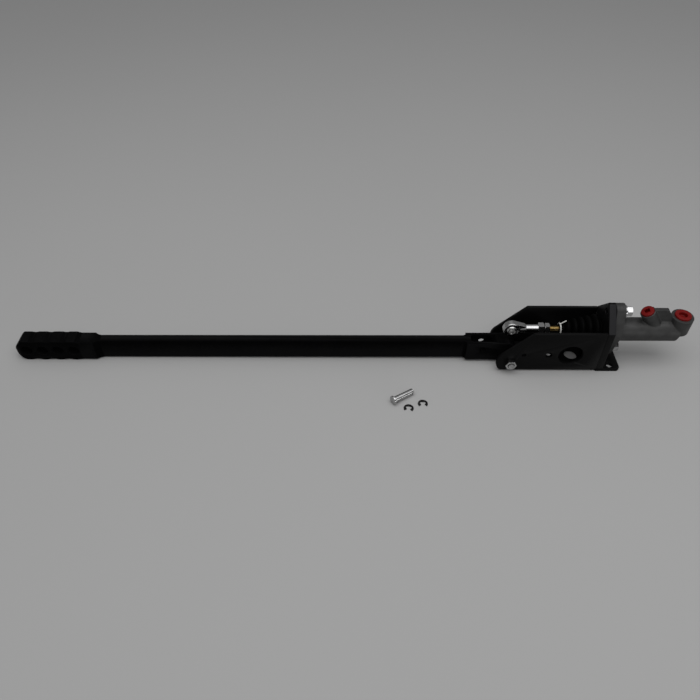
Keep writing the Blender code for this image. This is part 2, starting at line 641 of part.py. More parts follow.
def grip_edge(side):
    """Wavy finger edge of the grip, from its first crest to where it falls back to the bar's level."""
    level, proud = (LEVER_ABOVE, GRIP_CREST_ABOVE) if side > 0 else (-LEVER_BELOW, GRIP_CREST_BELOW)
    points = []
    last = (GRIP_WAVES - 1) * WAVE_STEPS
    for step in range(last + WAVE_STEPS // 2 + 1):
        turn = math.tau * step / WAVE_STEPS
        fall = GRIP_WAVE_DEPTH if step < last else proud
        height = proud - fall * (1 - math.cos(turn)) / 2
        points.append((GRIP_FIRST_WAVE + GRIP_PITCH * step / WAVE_STEPS, level + side * height))
    return points


def lever_side_outline():
    """Side view of the lever about its pivot: blunt nose, waves, straight bar, round end."""
    upper, lower = grip_edge(1), grip_edge(-1)
    run = GRIP_FIRST_WAVE - GRIP_TIP
    nose_top, nose_low = [], []
    for step in range(1, NOSE_STEPS):
        share = step / NOSE_STEPS
        top = math.sin(share * math.pi / 2) ** NOSE_FULL_ABOVE
        nose_top.append((GRIP_TIP + run * share, GRIP_NOSE_Z + (upper[0][1] - GRIP_NOSE_Z) * top))
        low = math.sin(share * math.pi / 2) ** NOSE_FULL_BELOW
        nose_low.append((GRIP_TIP + run * share, GRIP_NOSE_Z + (lower[0][1] - GRIP_NOSE_Z) * low))
    outline = upper[::-1] + nose_top[::-1] + [(GRIP_TIP, GRIP_NOSE_Z)] + nose_low + lower
    outline += arc((0, 0), LEVER_END_RADIUS, -90, LEVER_END_RELIEF, 12)
    end_x, end_z = outline[-1]
    outline.append((end_x - (LEVER_ABOVE - end_z), LEVER_ABOVE))
    return outline


def window_outline():
    half, corner = WINDOW_WIDTH / 2, WINDOW_CORNER
    outline = arc((WINDOW_NEAR - corner, half - corner), corner, 0, 90, 4)
    outline += arc((WINDOW_FAR + corner, half - corner), corner, 90, 180, 4)
    outline += arc((WINDOW_FAR + corner, corner - half), corner, 180, 270, 4)
    outline += arc((WINDOW_NEAR - corner, corner - half), corner, 270, 360, 4)
    return outline


def eye_relief():
    """Cut that lets the fork's window swing past the rod end's eye."""
    radius = AXIS_Z - PIVOT_Z - EYE_RADIUS - SEAT
    low = 180 - math.degrees(math.asin((LEVER_ABOVE + CUT) / radius))
    far = WINDOW_NEAR - WINDOW_CORNER
    high = 180 - math.degrees(math.acos(min(1.0, -far / radius)))
    outline = arc((0, 0), radius, low, high, 6)
    return outline + [(far - CUT, outline[-1][1]), (far - CUT, LEVER_ABOVE + CUT)]


def make_lever(aluminium):
    plan = extruded("plan", lever_top_outline(), "Z", -LEVER_BELOW - CUT, LEVER_ABOVE + CUT)
    side = extruded("side", lever_side_outline(), "Y", -GRIP_THICK, GRIP_THICK)
    lever = common(plan, side)
    half = FORK_THICK / 2 + CUT
    middle = (LEVER_ABOVE - LEVER_BELOW) / 2
    cutters = [extruded("window", window_outline(), "Z", -LEVER_BELOW - CUT, LEVER_ABOVE + CUT)]
    cutters.append(extruded("relief", eye_relief(), "Y", -WINDOW_WIDTH / 2, WINDOW_WIDTH / 2))
    bush = PIVOT_BOLT_RADIUS + RUN + BUSH_WALL + SEAT
    cutters.append(cylinder("hole", (0, -half, 0), (0, half, 0), bush, FACETS_SMALL))
    cutters.append(cylinder("hole", (PIN_HOLE_X, -half, PIN_HOLE_Z), (PIN_HOLE_X, half, PIN_HOLE_Z),
                            PIN_HOLE_RADIUS, FACETS_SMALL))
    grip = GRIP_THICK / 2
    for wave in range(GRIP_WAVES):
        x = GRIP_FIRST_WAVE + wave * GRIP_PITCH
        wide = GRIP_HOLE_RADIUS + GRIP_HOLE_LIP + CUT
        lip = grip - GRIP_HOLE_LIP
        profile = [(-grip - CUT, 0.0), (-grip - CUT, wide), (-lip, GRIP_HOLE_RADIUS), (lip, GRIP_HOLE_RADIUS)]
        profile += [(grip + CUT, wide), (grip + CUT, 0.0)]
        cutters.append(turned("hole", profile, FACETS_MIDDLE, (x, 0, middle), (0, 1, 0)))
    cut(lever, *cutters)
    edge_break(lever, LEVER_CHAMFER, 60)
    return finish(lever, "lever_arm", aluminium, 35)


def make_piston_group(finishes):
    """Piston with its seals, stop washer and circlip in the bore's mouth."""
    groove = PISTON_RADIUS - SEAL_DEPTH
    rear = PISTON_FROM + REAR_SEAL_FROM
    front = PISTON_FROM + FRONT_SEAL_FROM
    socket = BALL_RADIUS + RUN
    stem_hole = STEM_HEAD_RADIUS + RUN
    hole_end = STEM_FROM - STROKE - 2 * SEAT
    profile = [(PISTON_FROM, socket), (PISTON_FROM, PISTON_RADIUS - EDGE), (PISTON_FROM + EDGE, PISTON_RADIUS)]
    for start in (rear, front):
        profile += [(start, PISTON_RADIUS), (start, groove), (start + SEAL_GROOVE, groove)]
        profile += [(start + SEAL_GROOVE, PISTON_RADIUS)]
    profile += [(PISTON_SHOULDER, PISTON_RADIUS), (PISTON_SHOULDER, PISTON_NOSE_RADIUS)]
    profile += [(PISTON_TIP, PISTON_NOSE_RADIUS), (PISTON_TIP, stem_hole), (hole_end, stem_hole), (hole_end, 0.0)]
    profile += [(PISTON_FROM + SOCKET_DEPTH, 0.0), (PISTON_FROM + SOCKET_DEPTH, socket)]
    centre = (0, 0, AXIS_Z)
    finish(turned("piston", profile, FACETS_MIDDLE, centre), "piston", finishes["aluminium_bare"], 35)
    for start, name in ((rear, "rear_seal"), (front, "front_cup")):
        low, high = groove + SEAT, BORE_RADIUS - SEAT
        ring = [(start + SEAT, low), (start + SEAT, high - EDGE), (start + SEAL_GROOVE / 2, high)]
        ring += [(start + SEAL_GROOVE - SEAT, high), (start + SEAL_GROOVE - SEAT, low)]
        finish(turned(name, ring, FACETS_MIDDLE, centre), name, finishes["rubber"], 35)
    rod = ROD_RADIUS + RUN
    ring = [(STOP_FROM, rod), (STOP_FROM, BORE_RADIUS - SEAT), (STOP_FROM + STOP_WASHER_THICK, BORE_RADIUS - SEAT)]
    ring += [(STOP_FROM + STOP_WASHER_THICK, rod)]
    finish(turned("stop_washer", ring, FACETS_MIDDLE, centre), "stop_washer", finishes["steel_bare"], 35)
    ring = [(CIRCLIP_FROM, BORE_RADIUS - CIRCLIP_LIP), (CIRCLIP_FROM, BORE_RADIUS + CIRCLIP_LIP)]
    ring += [(CIRCLIP_FROM + CIRCLIP_THICK, BORE_RADIUS + CIRCLIP_LIP)]
    ring += [(CIRCLIP_FROM + CIRCLIP_THICK, BORE_RADIUS - CIRCLIP_LIP)]
    circlip = turned("circlip", ring, FACETS_MIDDLE, centre)
    gap = BORE_RADIUS * 0.35
    outline = [(-gap, AXIS_Z - 2 * BORE_RADIUS), (gap, AXIS_Z - 2 * BORE_RADIUS), (gap, AXIS_Z), (-gap, AXIS_Z)]
    cut(circlip, extruded("gap", outline, "X", CIRCLIP_FROM - CUT, CIRCLIP_FROM + CIRCLIP_THICK + CUT))
    finish(circlip, "circlip", finishes["steel_bare"], 35)


def make_valve_group(finishes):
    """Centre valve ahead of the piston: thimble, stem, seal, spacer and return spring."""
    centre = (0, 0, AXIS_Z)
    hole = STEM_RADIUS + RUN
    profile = [(THIMBLE_FROM, THIMBLE_INNER), (THIMBLE_FROM, THIMBLE_FLANGE)]
    profile += [(THIMBLE_FROM + THIMBLE_WALL, THIMBLE_FLANGE), (THIMBLE_FROM + THIMBLE_WALL, THIMBLE_OUTER)]
    profile += [(THIMBLE_TO, THIMBLE_OUTER), (THIMBLE_TO, hole), (THIMBLE_TO - THIMBLE_WALL, hole)]
    profile += [(THIMBLE_TO - THIMBLE_WALL, THIMBLE_INNER)]
    finish(turned("spring_thimble", profile, FACETS_MIDDLE, centre), "spring_thimble", finishes["steel_bare"], 35)
    collar = STEM_HEAD_RADIUS
    profile = [(STEM_FROM, 0.0), (STEM_FROM, STEM_HEAD_RADIUS), (STEM_FROM + STEM_HEAD, STEM_HEAD_RADIUS)]
    profile += [(STEM_FROM + STEM_HEAD, STEM_RADIUS), (STEM_TO - STEM_COLLAR, STEM_RADIUS)]
    profile += [(STEM_TO - STEM_COLLAR, collar), (STEM_TO, collar), (STEM_TO, 0.0)]
    finish(turned("valve_stem", profile, FACETS_SMALL, centre), "valve_stem", finishes["steel_bare"], 35)
    outer = THIMBLE_FLANGE
    for name, low, high, wide, look in (("valve_seal", VALVE_SEAL_FROM, VALVE_SEAL_TO, outer * 0.6, "rubber"),
                                        ("valve_spacer", SPACER_FROM, SPACER_TO, outer, "steel_bare")):
        ring = [(low, hole), (low, wide), (high, wide), (high, hole)]
        finish(turned(name, ring, FACETS_MIDDLE, centre), name, finishes[look], 35)

    curve = bpy.data.curves.new("return_spring", "CURVE")
    curve.dimensions = "3D"
    curve.bevel_depth = SPRING_WIRE / 2
    curve.bevel_resolution = 1
    curve.use_fill_caps = True
    steps = int(SPRING_TURNS * FACETS_SMALL * 0.75)
    path = curve.splines.new("POLY")
    path.points.add(steps)
    for step in range(steps + 1):
        share = step / steps
        angle = math.tau * SPRING_TURNS * share
        x = SPRING_FROM + (SPRING_TO - SPRING_FROM) * share
        path.points[step].co = (x, SPRING_RADIUS * math.cos(angle), AXIS_Z + SPRING_RADIUS * math.sin(angle), 1)
    spring = add_object("return_spring", curve)
    spring.data.materials.append(finishes["steel_bare"])


def make_pushrod_group(finishes):
    """Threaded pushrod with its ball, jam nut and the rod end with its swivel ball."""
    centre = (0, 0, AXIS_Z)
    profile = [(ROD_START, 0.0), (ROD_START, ROD_RADIUS - EDGE), (ROD_START + EDGE, ROD_RADIUS)]
    meet = math.degrees(math.asin(ROD_RADIUS / BALL_RADIUS))
    profile += [(BALL_X + a, r) for a, r in arc((0, 0), BALL_RADIUS, 180 - meet, 0, 9)]
    finish(turned("pushrod", profile, FACETS_MIDDLE, centre), "pushrod", finishes["yellow_zinc"], 35)

    nut = nut_along("jam_nut", (JAM_FROM, 0, AXIS_Z), (1, 0, 0), JAM_HEX, JAM_THICK, ROD_RADIUS + SEAT)
    finish(nut, "jam_nut", finishes["zinc"], 35)

    half = EYE_THICK / 2
    neck = EYE_RADIUS * 0.94
    eye = [(-half, 0.0), (-half, EYE_RADIUS - EDGE), (EDGE - half, EYE_RADIUS), (half - EDGE, EYE_RADIUS)]
    eye += [(half, EYE_RADIUS - EDGE), (half, 0.0)]
    housing = turned("eye", eye, FACETS_LARGE, centre, (0, 1, 0))
    taper = EYE_RADIUS + SHANK_RADIUS * 1.1
    wing = SHANK_RADIUS
    outline = [(EYE_RADIUS * 0.35, neck), (taper, wing), (taper, -wing), (EYE_RADIUS * 0.35, -neck)]
    blend = extruded("neck", [(x, AXIS_Z + z) for x, z in outline], "Y", EDGE - half, half - EDGE)
    shank = [(EYE_RADIUS * 0.85, 0.0), (EYE_RADIUS * 0.85, half), (taper, SHANK_RADIUS)]
    shank += [(SHANK_END - EDGE, SHANK_RADIUS), (SHANK_END, SHANK_RADIUS - EDGE), (SHANK_END, 0.0)]
    bar = turned("shank", shank, FACETS_MIDDLE, centre)
    grip = [(y, AXIS_Z + z) for y, z in hexagon(SHANK_HEX)]
    flats = extruded("flats", grip, "X", SHANK_HEX_START, SHANK_END - EDGE)
    join(housing, blend, bar, flats)
    race = arc((0, 0), EYE_BALL + RUN, 180, 0, 12)
    thread = ROD_RADIUS + SEAT
    cut(housing, turned("race", race, FACETS_LARGE, centre, (0, 1, 0)),
        cylinder("thread", (ROD_START - SEAT, 0, AXIS_Z), (SHANK_END + CUT, 0, AXIS_Z), thread, FACETS_SMALL))
    finish(housing, "rod_end_housing", finishes["zinc"], 35)

    wide = EYE_BALL_WIDTH / 2
    edge = math.degrees(math.acos(wide / EYE_BALL))
    outside = arc((0, 0), EYE_BALL, 180 - edge, edge, 10)
    ball = [(-wide, EYE_BORE)] + outside + [(wide, EYE_BORE)]
    made = turned("rod_end_ball", ball, FACETS_MIDDLE, centre, (0, 1, 0))
    finish(made, "rod_end_ball", finishes["steel_bare"], 35)


def boot_outline(inward):
    """Radius of the bellows along X; inward is how far inside the outer skin."""
    start = BOOT_START + BOOT_NOSE_LENGTH
    length = BOOT_LIP - start
    pitch = length / BOOT_FOLDS
    points = [(BOOT_START, BOOT_NOSE - inward), (start, BOOT_NOSE - inward)]
    for fold in range(BOOT_FOLDS):
        share = fold / (BOOT_FOLDS - 1)
        crest = BOOT_FIRST_CREST + (BOOT_LAST_CREST - BOOT_FIRST_CREST) * share
        for place, drop in ((0.38, 0.18), (0.5, 0.0), (0.62, 0.18), (1.0, 1.0)):
            radius = crest - BOOT_FOLD_DEPTH * drop
            points.append((start + pitch * (fold + place), radius - inward))
    return points


def make_boot(finishes):
    """Bellows boot between pushrod and spigot, and the tie round its nose."""
    centre = (0, 0, AXIS_Z)
    outer = boot_outline(0.0)
    inner = boot_outline(BOOT_WALL)
    lip = SPIGOT_RADIUS - BOOT_GROOVE + SEAT
    lip_outer = outer[-1][1]
    nose_hole = ROD_RADIUS + SEAT
    profile = outer + [(BOOT_END, lip_outer), (BOOT_END, lip), (BOOT_LIP, lip)]
    mouth = SPIGOT_RADIUS + SEAT
    profile += [(BOOT_LIP, mouth), (BOOT_LIP - BOOT_WALL, mouth)]
    profile += [point for point in reversed(inner[2:-1])]
    profile += [(inner[1][0], nose_hole), (BOOT_START, nose_hole)]
    boot = turned("dust_boot", profile, FACETS_MIDDLE, centre)
    finish(boot, "dust_boot", finishes["rubber"], 35)

    nose = outer[0][1] + SEAT
    from_x = BOOT_START + BOOT_NOSE_LENGTH / 2 - TIE_WIDTH / 2
    ring = [(from_x, nose), (from_x, nose + TIE_THICK), (from_x + TIE_WIDTH, nose + TIE_THICK)]
    ring += [(from_x + TIE_WIDTH, nose)]
    tie = turned("tie", ring, FACETS_MIDDLE, centre)
    head = 2.0 * TIE_WIDTH
    top = AXIS_Z + nose + TIE_THICK / 2
    block = [(-head / 2, top), (head / 2, top), (head / 2, top + TIE_WIDTH), (-head / 2, top + TIE_WIDTH)]
    lock = extruded("lock", block, "X", from_x - TIE_THICK, from_x + TIE_WIDTH + TIE_THICK)
    tail = [(from_x - TIE_TAIL * 0.72, top - TIE_WIDTH), (from_x - TIE_TAIL * 0.72, top - TIE_WIDTH - TIE_THICK)]
    tail += [(from_x + TIE_THICK, top + TIE_THICK * 0.3), (from_x + TIE_THICK, top + TIE_THICK * 1.6)]
    strip = extruded("tail", tail, "Y", -TIE_WIDTH / 2, TIE_WIDTH / 2)
    join(tie, lock, strip)
    finish(tie, "boot_tie", finishes["nylon"], 35)


def make_loose_pieces(finishes):
    """Clevis pin and E-clips that lie on the table."""
    length = PIN_HEAD + PIN_SHANK
    pitch = math.asin((PIN_HEAD_RADIUS - PIN_RADIUS) / PIN_SHANK)
    groove = length - PIN_GROOVE_FROM_TIP
    profile = [(0.0, 0.0), (0.0, PIN_HEAD_RADIUS - EDGE), (EDGE, PIN_HEAD_RADIUS), (PIN_HEAD, PIN_HEAD_RADIUS)]
    profile += [(PIN_HEAD, PIN_RADIUS), (groove, PIN_RADIUS), (groove, PIN_RADIUS - PIN_GROOVE_DEPTH)]
    profile += [(groove + PIN_GROOVE_WIDTH, PIN_RADIUS - PIN_GROOVE_DEPTH), (groove + PIN_GROOVE_WIDTH, PIN_RADIUS)]
    profile += [(length - EDGE, PIN_RADIUS), (length, PIN_RADIUS - EDGE), (length, 0.0)]
    pin = turned("clevis_pin", profile, FACETS_MIDDLE)
    lift = PIN_HEAD_RADIUS * math.cos(pitch) + PIN_HEAD * math.sin(pitch) + GRIP_TOUCH
    pin.matrix_world = (Matrix.Translation((*PIN_PLACE, lift)) @ Matrix.Rotation(PIN_HEADING, 4, "Z")
                        @ Matrix.Rotation(pitch, 4, "Y"))
    finish(pin, "clevis_pin", finishes["zinc"], 35)

    for number, (x, y, heading) in enumerate(CLIP_PLACES, 1):
        outer, inner = [], []
        steps = 28
        for step in range(steps + 1):
            turn = CLIP_OPENING + (math.tau - 2 * CLIP_OPENING) * step / steps
            lobe = (1 + math.cos(3 * turn + math.pi)) / 2
            hollow = PIN_RADIUS * (1.04 - 0.32 * lobe)
            outer.append((CLIP_RADIUS * math.cos(turn), CLIP_RADIUS * math.sin(turn)))
            inner.append((hollow * math.cos(turn), hollow * math.sin(turn)))
        clip = extruded("clip", outer + inner[::-1], "Z", GRIP_TOUCH, GRIP_TOUCH + CLIP_THICK)
        turn = math.radians(heading - 90)
        clip.data.transform(Matrix.Translation((x, y, 0)) @ Matrix.Rotation(turn, 4, "Z"))
        finish(clip, f"e_clip_{number}", finishes["black_steel"], 35)


def make_finishes():
    return {
        "black_steel": material("black_steel", (0.012, 0.012, 0.013), 0.45),
        "black_aluminium": material("black_aluminium", (0.012, 0.012, 0.013), 0.38, 0.3),
        "cast": material("cast", (0.075, 0.075, 0.072), 0.6, 0.3),
        "red": material("red", (0.45, 0.015, 0.015), 0.4),
        "zinc": material("zinc", (0.62, 0.62, 0.6), 0.28, 1.0),
        "yellow_zinc": material("yellow_zinc", (0.42, 0.3, 0.12), 0.32, 1.0),
        "steel_bare": material("steel_bare", (0.5, 0.5, 0.5), 0.3, 1.0),
        "aluminium_bare": material("aluminium_bare", (0.6, 0.6, 0.6), 0.35, 1.0),
        "bronze": material("bronze", (0.4, 0.25, 0.1), 0.4, 1.0),
        "rubber": material("rubber", (0.01, 0.01, 0.01), 0.7),
        "nylon": material("nylon", (0.8, 0.8, 0.78), 0.4),
    }


def main():
    clear_scene()
    finishes = make_finishes()
    make_bracket(finishes["black_steel"])
    make_cylinder_plate(finishes["black_steel"])
    make_cylinder_body(finishes["cast"])
    make_plugs(finishes["red"])
    make_flange_fasteners(finishes["zinc"])
    bushes = make_pivot(finishes["zinc"], finishes["black_steel"], finishes["bronze"])
    lever = make_lever(finishes["black_aluminium"])
    pivot = bpy.data.objects.new("lever_pivot", None)
    bpy.context.scene.collection.objects.link(pivot)
    pivot.location = PIVOT
    pivot.rotation_euler = (0.0, -grip_tilt(), 0.0)
    for piece in (lever, *bushes):
        piece.parent = pivot
    make_piston_group(finishes)
    make_valve_group(finishes)
    make_pushrod_group(finishes)
    make_boot(finishes)
    make_loose_pieces(finishes)


main()
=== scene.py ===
import json
import math

import bpy
from mathutils import Matrix, Vector


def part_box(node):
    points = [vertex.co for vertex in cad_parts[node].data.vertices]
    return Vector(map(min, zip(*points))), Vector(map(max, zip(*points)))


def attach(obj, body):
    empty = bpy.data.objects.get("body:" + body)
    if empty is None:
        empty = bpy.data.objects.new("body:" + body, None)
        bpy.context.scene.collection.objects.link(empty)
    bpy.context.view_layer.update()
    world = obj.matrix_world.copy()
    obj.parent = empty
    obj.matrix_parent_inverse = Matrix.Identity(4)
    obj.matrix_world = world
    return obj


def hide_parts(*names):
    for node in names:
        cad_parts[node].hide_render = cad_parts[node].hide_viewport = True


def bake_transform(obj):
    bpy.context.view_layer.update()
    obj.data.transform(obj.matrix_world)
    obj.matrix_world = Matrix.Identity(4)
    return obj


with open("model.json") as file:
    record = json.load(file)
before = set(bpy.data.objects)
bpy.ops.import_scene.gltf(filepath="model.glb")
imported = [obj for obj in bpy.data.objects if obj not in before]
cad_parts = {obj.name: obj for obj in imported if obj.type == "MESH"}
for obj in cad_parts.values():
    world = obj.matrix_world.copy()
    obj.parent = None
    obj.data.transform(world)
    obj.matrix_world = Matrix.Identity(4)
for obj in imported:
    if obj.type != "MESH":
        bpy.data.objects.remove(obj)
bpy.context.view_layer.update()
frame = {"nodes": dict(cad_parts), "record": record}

bl_info = {
    "name": "Hydraulic Hand Brake Lever",
    "version": (1, 0, 0),
    "blender": (4, 5, 0),
    "location": "3D View > Sidebar > Hand Brake",
    "description": "Models and finishes a long hydraulic hand brake lever around its solid frame",
    "category": "Object",
}

MM = 0.001
SMALLEST = 0.05 * MM
MERGE = 0.002 * MM
REACH = 2 * MM  # how far a cutting shape passes what it cuts
FULL_TURN = 2 * math.pi
HEX_FACETS = 70  # no turned facet's edge meets a corner of the hexagon


def length(name, description, millimetres):
    """A size in metres with a default given in millimetres."""
    return bpy.props.FloatProperty(name=name, description=description, default=millimetres * MM,
                                   min=SMALLEST, soft_max=1.0, precision=5, unit="LENGTH", subtype="DISTANCE")


def spot(name, description, metres):
    """A place along one axis, in metres."""
    return bpy.props.FloatProperty(name=name, description=description, default=metres, unit="LENGTH",
                                   subtype="DISTANCE")


def bearing(name, description, degrees):
    """An angle with a default given in degrees."""
    return bpy.props.FloatProperty(name=name, description=description, default=math.radians(degrees),
                                   unit="ROTATION", subtype="ANGLE")


def tint(name, description, red, green, blue):
    """A scene-linear colour."""
    return bpy.props.FloatVectorProperty(name=name, description=description, default=(red, green, blue),
                                         size=3, min=0.0, max=1.0, subtype="COLOR")


def amount(name, description, default, high=1.0):
    """A share or strength without a unit."""
    return bpy.props.FloatProperty(name=name, description=description, default=default, min=0.0,
                                   soft_max=high, subtype="FACTOR")


class LeverSizes(bpy.types.PropertyGroup):
    """Sizes of the milled lever, measured from its pivot"""
    above: length("Above pivot", "Lever's height above the pivot", 16.9)
    below: length("Below pivot", "Lever's depth below the pivot", 11.8)
    bar_thick: length("Bar thickness", "Thickness of the slim bar", 12.0)
    grip_thick: length("Grip thickness", "Thickness of the grip", 21.0)
    fork_thick: length("Fork thickness", "Thickness of the fork block", 22.0)
    grip_reach: length("Grip reach", "From the pivot to the grip's free end", 661.4)
    grip_root: length("Grip root", "From the pivot to where the grip's fillet starts", 553.0)
    grip_fillet: length("Grip fillet", "Radius of the milled fillet behind the grip", 13.0)
    grip_nose: length("Grip nose", "Length of the bullet nose seen from above", 12.0)
    first_wave: length("First wave", "From the pivot to the outermost finger wave's crest", 644.4)
    wave_pitch: length("Wave pitch", "Distance between finger waves and holes", 20.9)
    wave_depth: length("Wave depth", "From crest to hollow of a finger wave", 2.1)
    crest_above: length("Crest above", "How far the upper crests stand above the bar's level", 3.2)
    crest_below: length("Crest below", "How far the lower crests stand below the bar's level", 1.9)
    nose_height: length("Nose height", "Height of the grip's tip above the pivot line", 0.6)
    grip_hole: length("Grip hole", "Radius of the grip's through holes", 7.4)
    hole_lip: length("Hole lip", "Width of the countersink round the grip's holes", 1.0)
    fork_start: length("Fork start", "From the pivot to the step up to the fork block", 56.3)
    fork_fillet: length("Fork fillet", "Radius at the step up to the fork block", 4.0)
    window_far: length("Window far end", "From the pivot to the window's far end", 50.7)
    window_near: length("Window near end", "From the pivot to the window's near end", 20.7)
    window_width: length("Window width", "Width of the window for the rod end", 13.0)
    window_corner: length("Window corner", "Radius in the window's corners", 5.0)
    pin_x: length("Pin hole along", "From the pivot to the clevis pin's hole", 34.5)
    pin_z: length("Pin hole up", "Clevis pin's hole above the pivot", 5.8)
    pin_hole: length("Pin hole", "Radius of the clevis pin's hole", 4.15)
    edge: length("Edge break", "Chamfer on the milled edges", 0.8)


class BracketSizes(bpy.types.PropertyGroup):
    """Sizes of the folded bracket and the plate across its end"""
    sheet: length("Sheet", "Thickness of the folded steel", 4.0)
    width: length("Width", "Width over both sides", 56.0)
    top: length("Top", "Height of the side plates", 66.5)
    bend: length("Bend", "Inner radius of the folds", 0.5)
    nose: length("Nose", "Radius of the nose round the pivot", 18.5)
    side_end: length("Side end", "Where the side plates end", 115.7)
    base_end: length("Base end", "Where the base plate ends", 148.5)
    base_corner: length("Base corner", "Radius of the base plate's corners", 5.5)
    hole_height: length("Side hole height", "Height of the side plates' holes", 29.5)
    edge: length("Edge break", "Rounding of the sheet's edges", 0.45)
    plate_flat: length("Plate flat", "Half width of the flat on the end plate", 2.0)
    pivot_height: length("Pivot height", "Height of the lever's pivot", 16.2)
    slope: bearing("Slope", "Slope of the sides' front edge", 45.5)
    front_hole_x: length("Front hole place", "Small side hole ahead of the pivot", 15.5)
    front_hole: length("Front hole", "Radius of the front side hole", 3.0)
    middle_hole_x: length("Middle hole place", "Side hole in the middle", 48.0)
    middle_hole: length("Middle hole", "Radius of the middle side hole", 4.5)
    large_hole_x: length("Large hole place", "Large hole in the near side", 76.5)
    large_hole: length("Large hole", "Radius of the large hole", 16.0)
    drain_x: length("Drain hole place", "Small hole in the base", 60.5)
    drain: length("Drain hole", "Radius of the small hole in the base", 4.5)
    window_x: length("Base window place", "Large hole in the base", 89.0)
    window: length("Base window", "Radius of the large hole in the base", 9.0)
    mount_x: length("Mount hole place", "Screw holes in the base's tail", 136.0)
    mount_inset: length("Mount hole inset", "From the base's edge to a screw hole", 7.5)
    mount_hole: length("Mount hole", "Radius of the screw holes", 4.25)


class CylinderSizes(bpy.types.PropertyGroup):
    """Sizes of the master cylinder and its plugs"""
    axis_height: length("Axis height", "Height of the cylinder's axis", 51.2)
    body: length("Body radius", "Radius of the cylinder's body", 15.6)
    body_end: length("Body end", "Where the body's closed end lies", 221.0)
    spigot: length("Spigot radius", "Radius of the spigot that holds the boot", 14.0)
    bore: length("Bore radius", "Radius of the bore", 9.525)
    flange_hub: length("Flange hub", "Radius of the flange round the body", 19.0)
    flange_ear: length("Flange ear", "Radius of the flange's ears", 10.8)
    bolt_span: length("Bolt span", "From the axis to each flange bolt", 31.0)
    inlet_x: length("Inlet place", "Where the inlet boss stands", 216.8)
    inlet: length("Inlet radius", "Radius of the inlet boss", 14.0)
    inlet_top: length("Inlet top", "Height of the inlet's rim", 74.3)
    inlet_bottom: length("Inlet bottom", "Height of the inlet boss's underside", 46.0)
    inlet_hole: length("Inlet hole", "Radius of the inlet's hole", 10.5)
    outlet: length("Outlet radius", "Radius of the leaning outlet boss", 9.6)
    outlet_x: length("Outlet place", "Where the outlet's rim lies", 169.5)
    outlet_z: length("Outlet height", "Height of the outlet's rim centre", 81.2)
    outlet_hole: length("Outlet hole", "Radius of the outlet's hole", 5.0)
    spotface: length("Spotface", "Radius of the outlet's spotface", 8.3)
    spotface_deep: length("Spotface depth", "Depth of the outlet's spotface", 0.8)
    flange_thick: length("Flange thickness", "Thickness of the flange", 12.5)
    end_chamfer: length("End chamfer", "Chamfer at the body's closed end", 7.0)
    rib_top: length("Rib top", "Height of the web between the bosses", 85.8)
    rib_from: length("Rib start", "Where the web's flat top starts", 178.3)
    rib_to: length("Rib end", "Where the web's flat top ends", 195.0)
    rib_thick: length("Rib thickness", "Thickness of the web", 5.5)
    bore_end: length("Bore end", "Where the bore's closed end lies", 214.0)
    inlet_deep: length("Inlet depth", "Depth of the inlet's hole", 9.0)
    outlet_deep: length("Outlet depth", "Depth of the outlet's hole", 13.0)
    plug_wall: length("Plug wall", "Width of the inlet plug's rim", 5.0)
    plug_deep: length("Plug recess", "Depth of the inlet plug's recess", 4.6)
    plug_head: length("Plug head", "Thickness of the outlet plug's head", 3.0)
    plug_stem: length("Plug stem", "Length of the outlet plug's stem", 9.7)
    plug_square: length("Plug square", "Width of the outlet plug's square recess", 6.4)
    square_deep: length("Square depth", "Depth of the outlet plug's square recess", 5.0)
    outlet_lean: bearing("Outlet lean", "How far the outlet leans back", 34)


class HardwareSizes(bpy.types.PropertyGroup):
    """Sizes of the fasteners, the pushrod and the loose pieces"""
    gap: length("Seat gap", "Gap between two pieces that touch", 0.3)
    m8: length("M8 radius", "Radius of the M8 threads", 4.0)
    m8_pitch: length("M8 pitch", "Pitch of the M8 threads", 1.25)
    m8_flats: length("M8 flats", "Width of the M8 hexagons across flats", 13.0)
    flange_flats: length("Flange bolt flats", "Width of the flange bolts' heads across flats", 12.0)
    flange_head: length("Flange bolt head", "Thickness of the flange bolts' heads", 7.0)
    pivot_head: length("Pivot bolt head", "Thickness of the pivot bolt's head", 5.3)
    eye: length("Eye radius", "Radius of the rod end's eye", 11.0)
    eye_thick: length("Eye thickness", "Thickness of the rod end's eye", 9.0)
    ball: length("Ball radius", "Radius of the rod end's ball", 8.0)
    ball_width: length("Ball width", "Width of the rod end's ball", 12.0)
    ball_bore: length("Ball bore", "Radius of the ball's bore", 4.1)
    shank: length("Shank radius", "Radius of the rod end's shank", 6.2)
    shank_flats: length("Shank flats", "Rod end's hexagon across flats", 14.0)
    pin: length("Pin radius", "Radius of the clevis pin", 4.0)
    pin_head: length("Pin head", "Radius of the clevis pin's head", 6.0)
    clip: length("Clip radius", "Radius of the E-clips", 6.3)
    washer: length("Washer radius", "Radius of the flange washers", 8.0)
    spacer: length("Spacer radius", "Radius of the side spacers", 7.0)
    flange_thread: length("Flange bolt thread", "Length of the flange bolts' threads", 9.0)
    pivot_thread: length("Pivot bolt thread", "Length of the pivot bolt's thread", 16.0)
    rod_thread: length("Rod thread", "Length of the pushrod's thread", 58.0)
    tip_ball: length("Tip ball", "Radius of the pushrod's ball tip", 5.6)
    pin_length: length("Pin length", "Length of the clevis pin under its head", 30.3)
    pin_cap: length("Pin head thickness", "Thickness of the clevis pin's head", 2.0)
    boot_wall: length("Boot wall", "Thickness of the boot's rubber", 1.3)
    fold_depth: length("Fold depth", "From valley to crest of the boot's folds", 4.6)
    tie_wide: length("Tie width", "Width of the tie's strap", 1.5)
    tie_thick: length("Tie thickness", "Thickness of the tie's strap", 0.7)
    spring: length("Spring radius", "Radius of the return spring's coil", 7.4)
    spring_wire: length("Spring wire", "Thickness of the return spring's wire", 1.5)


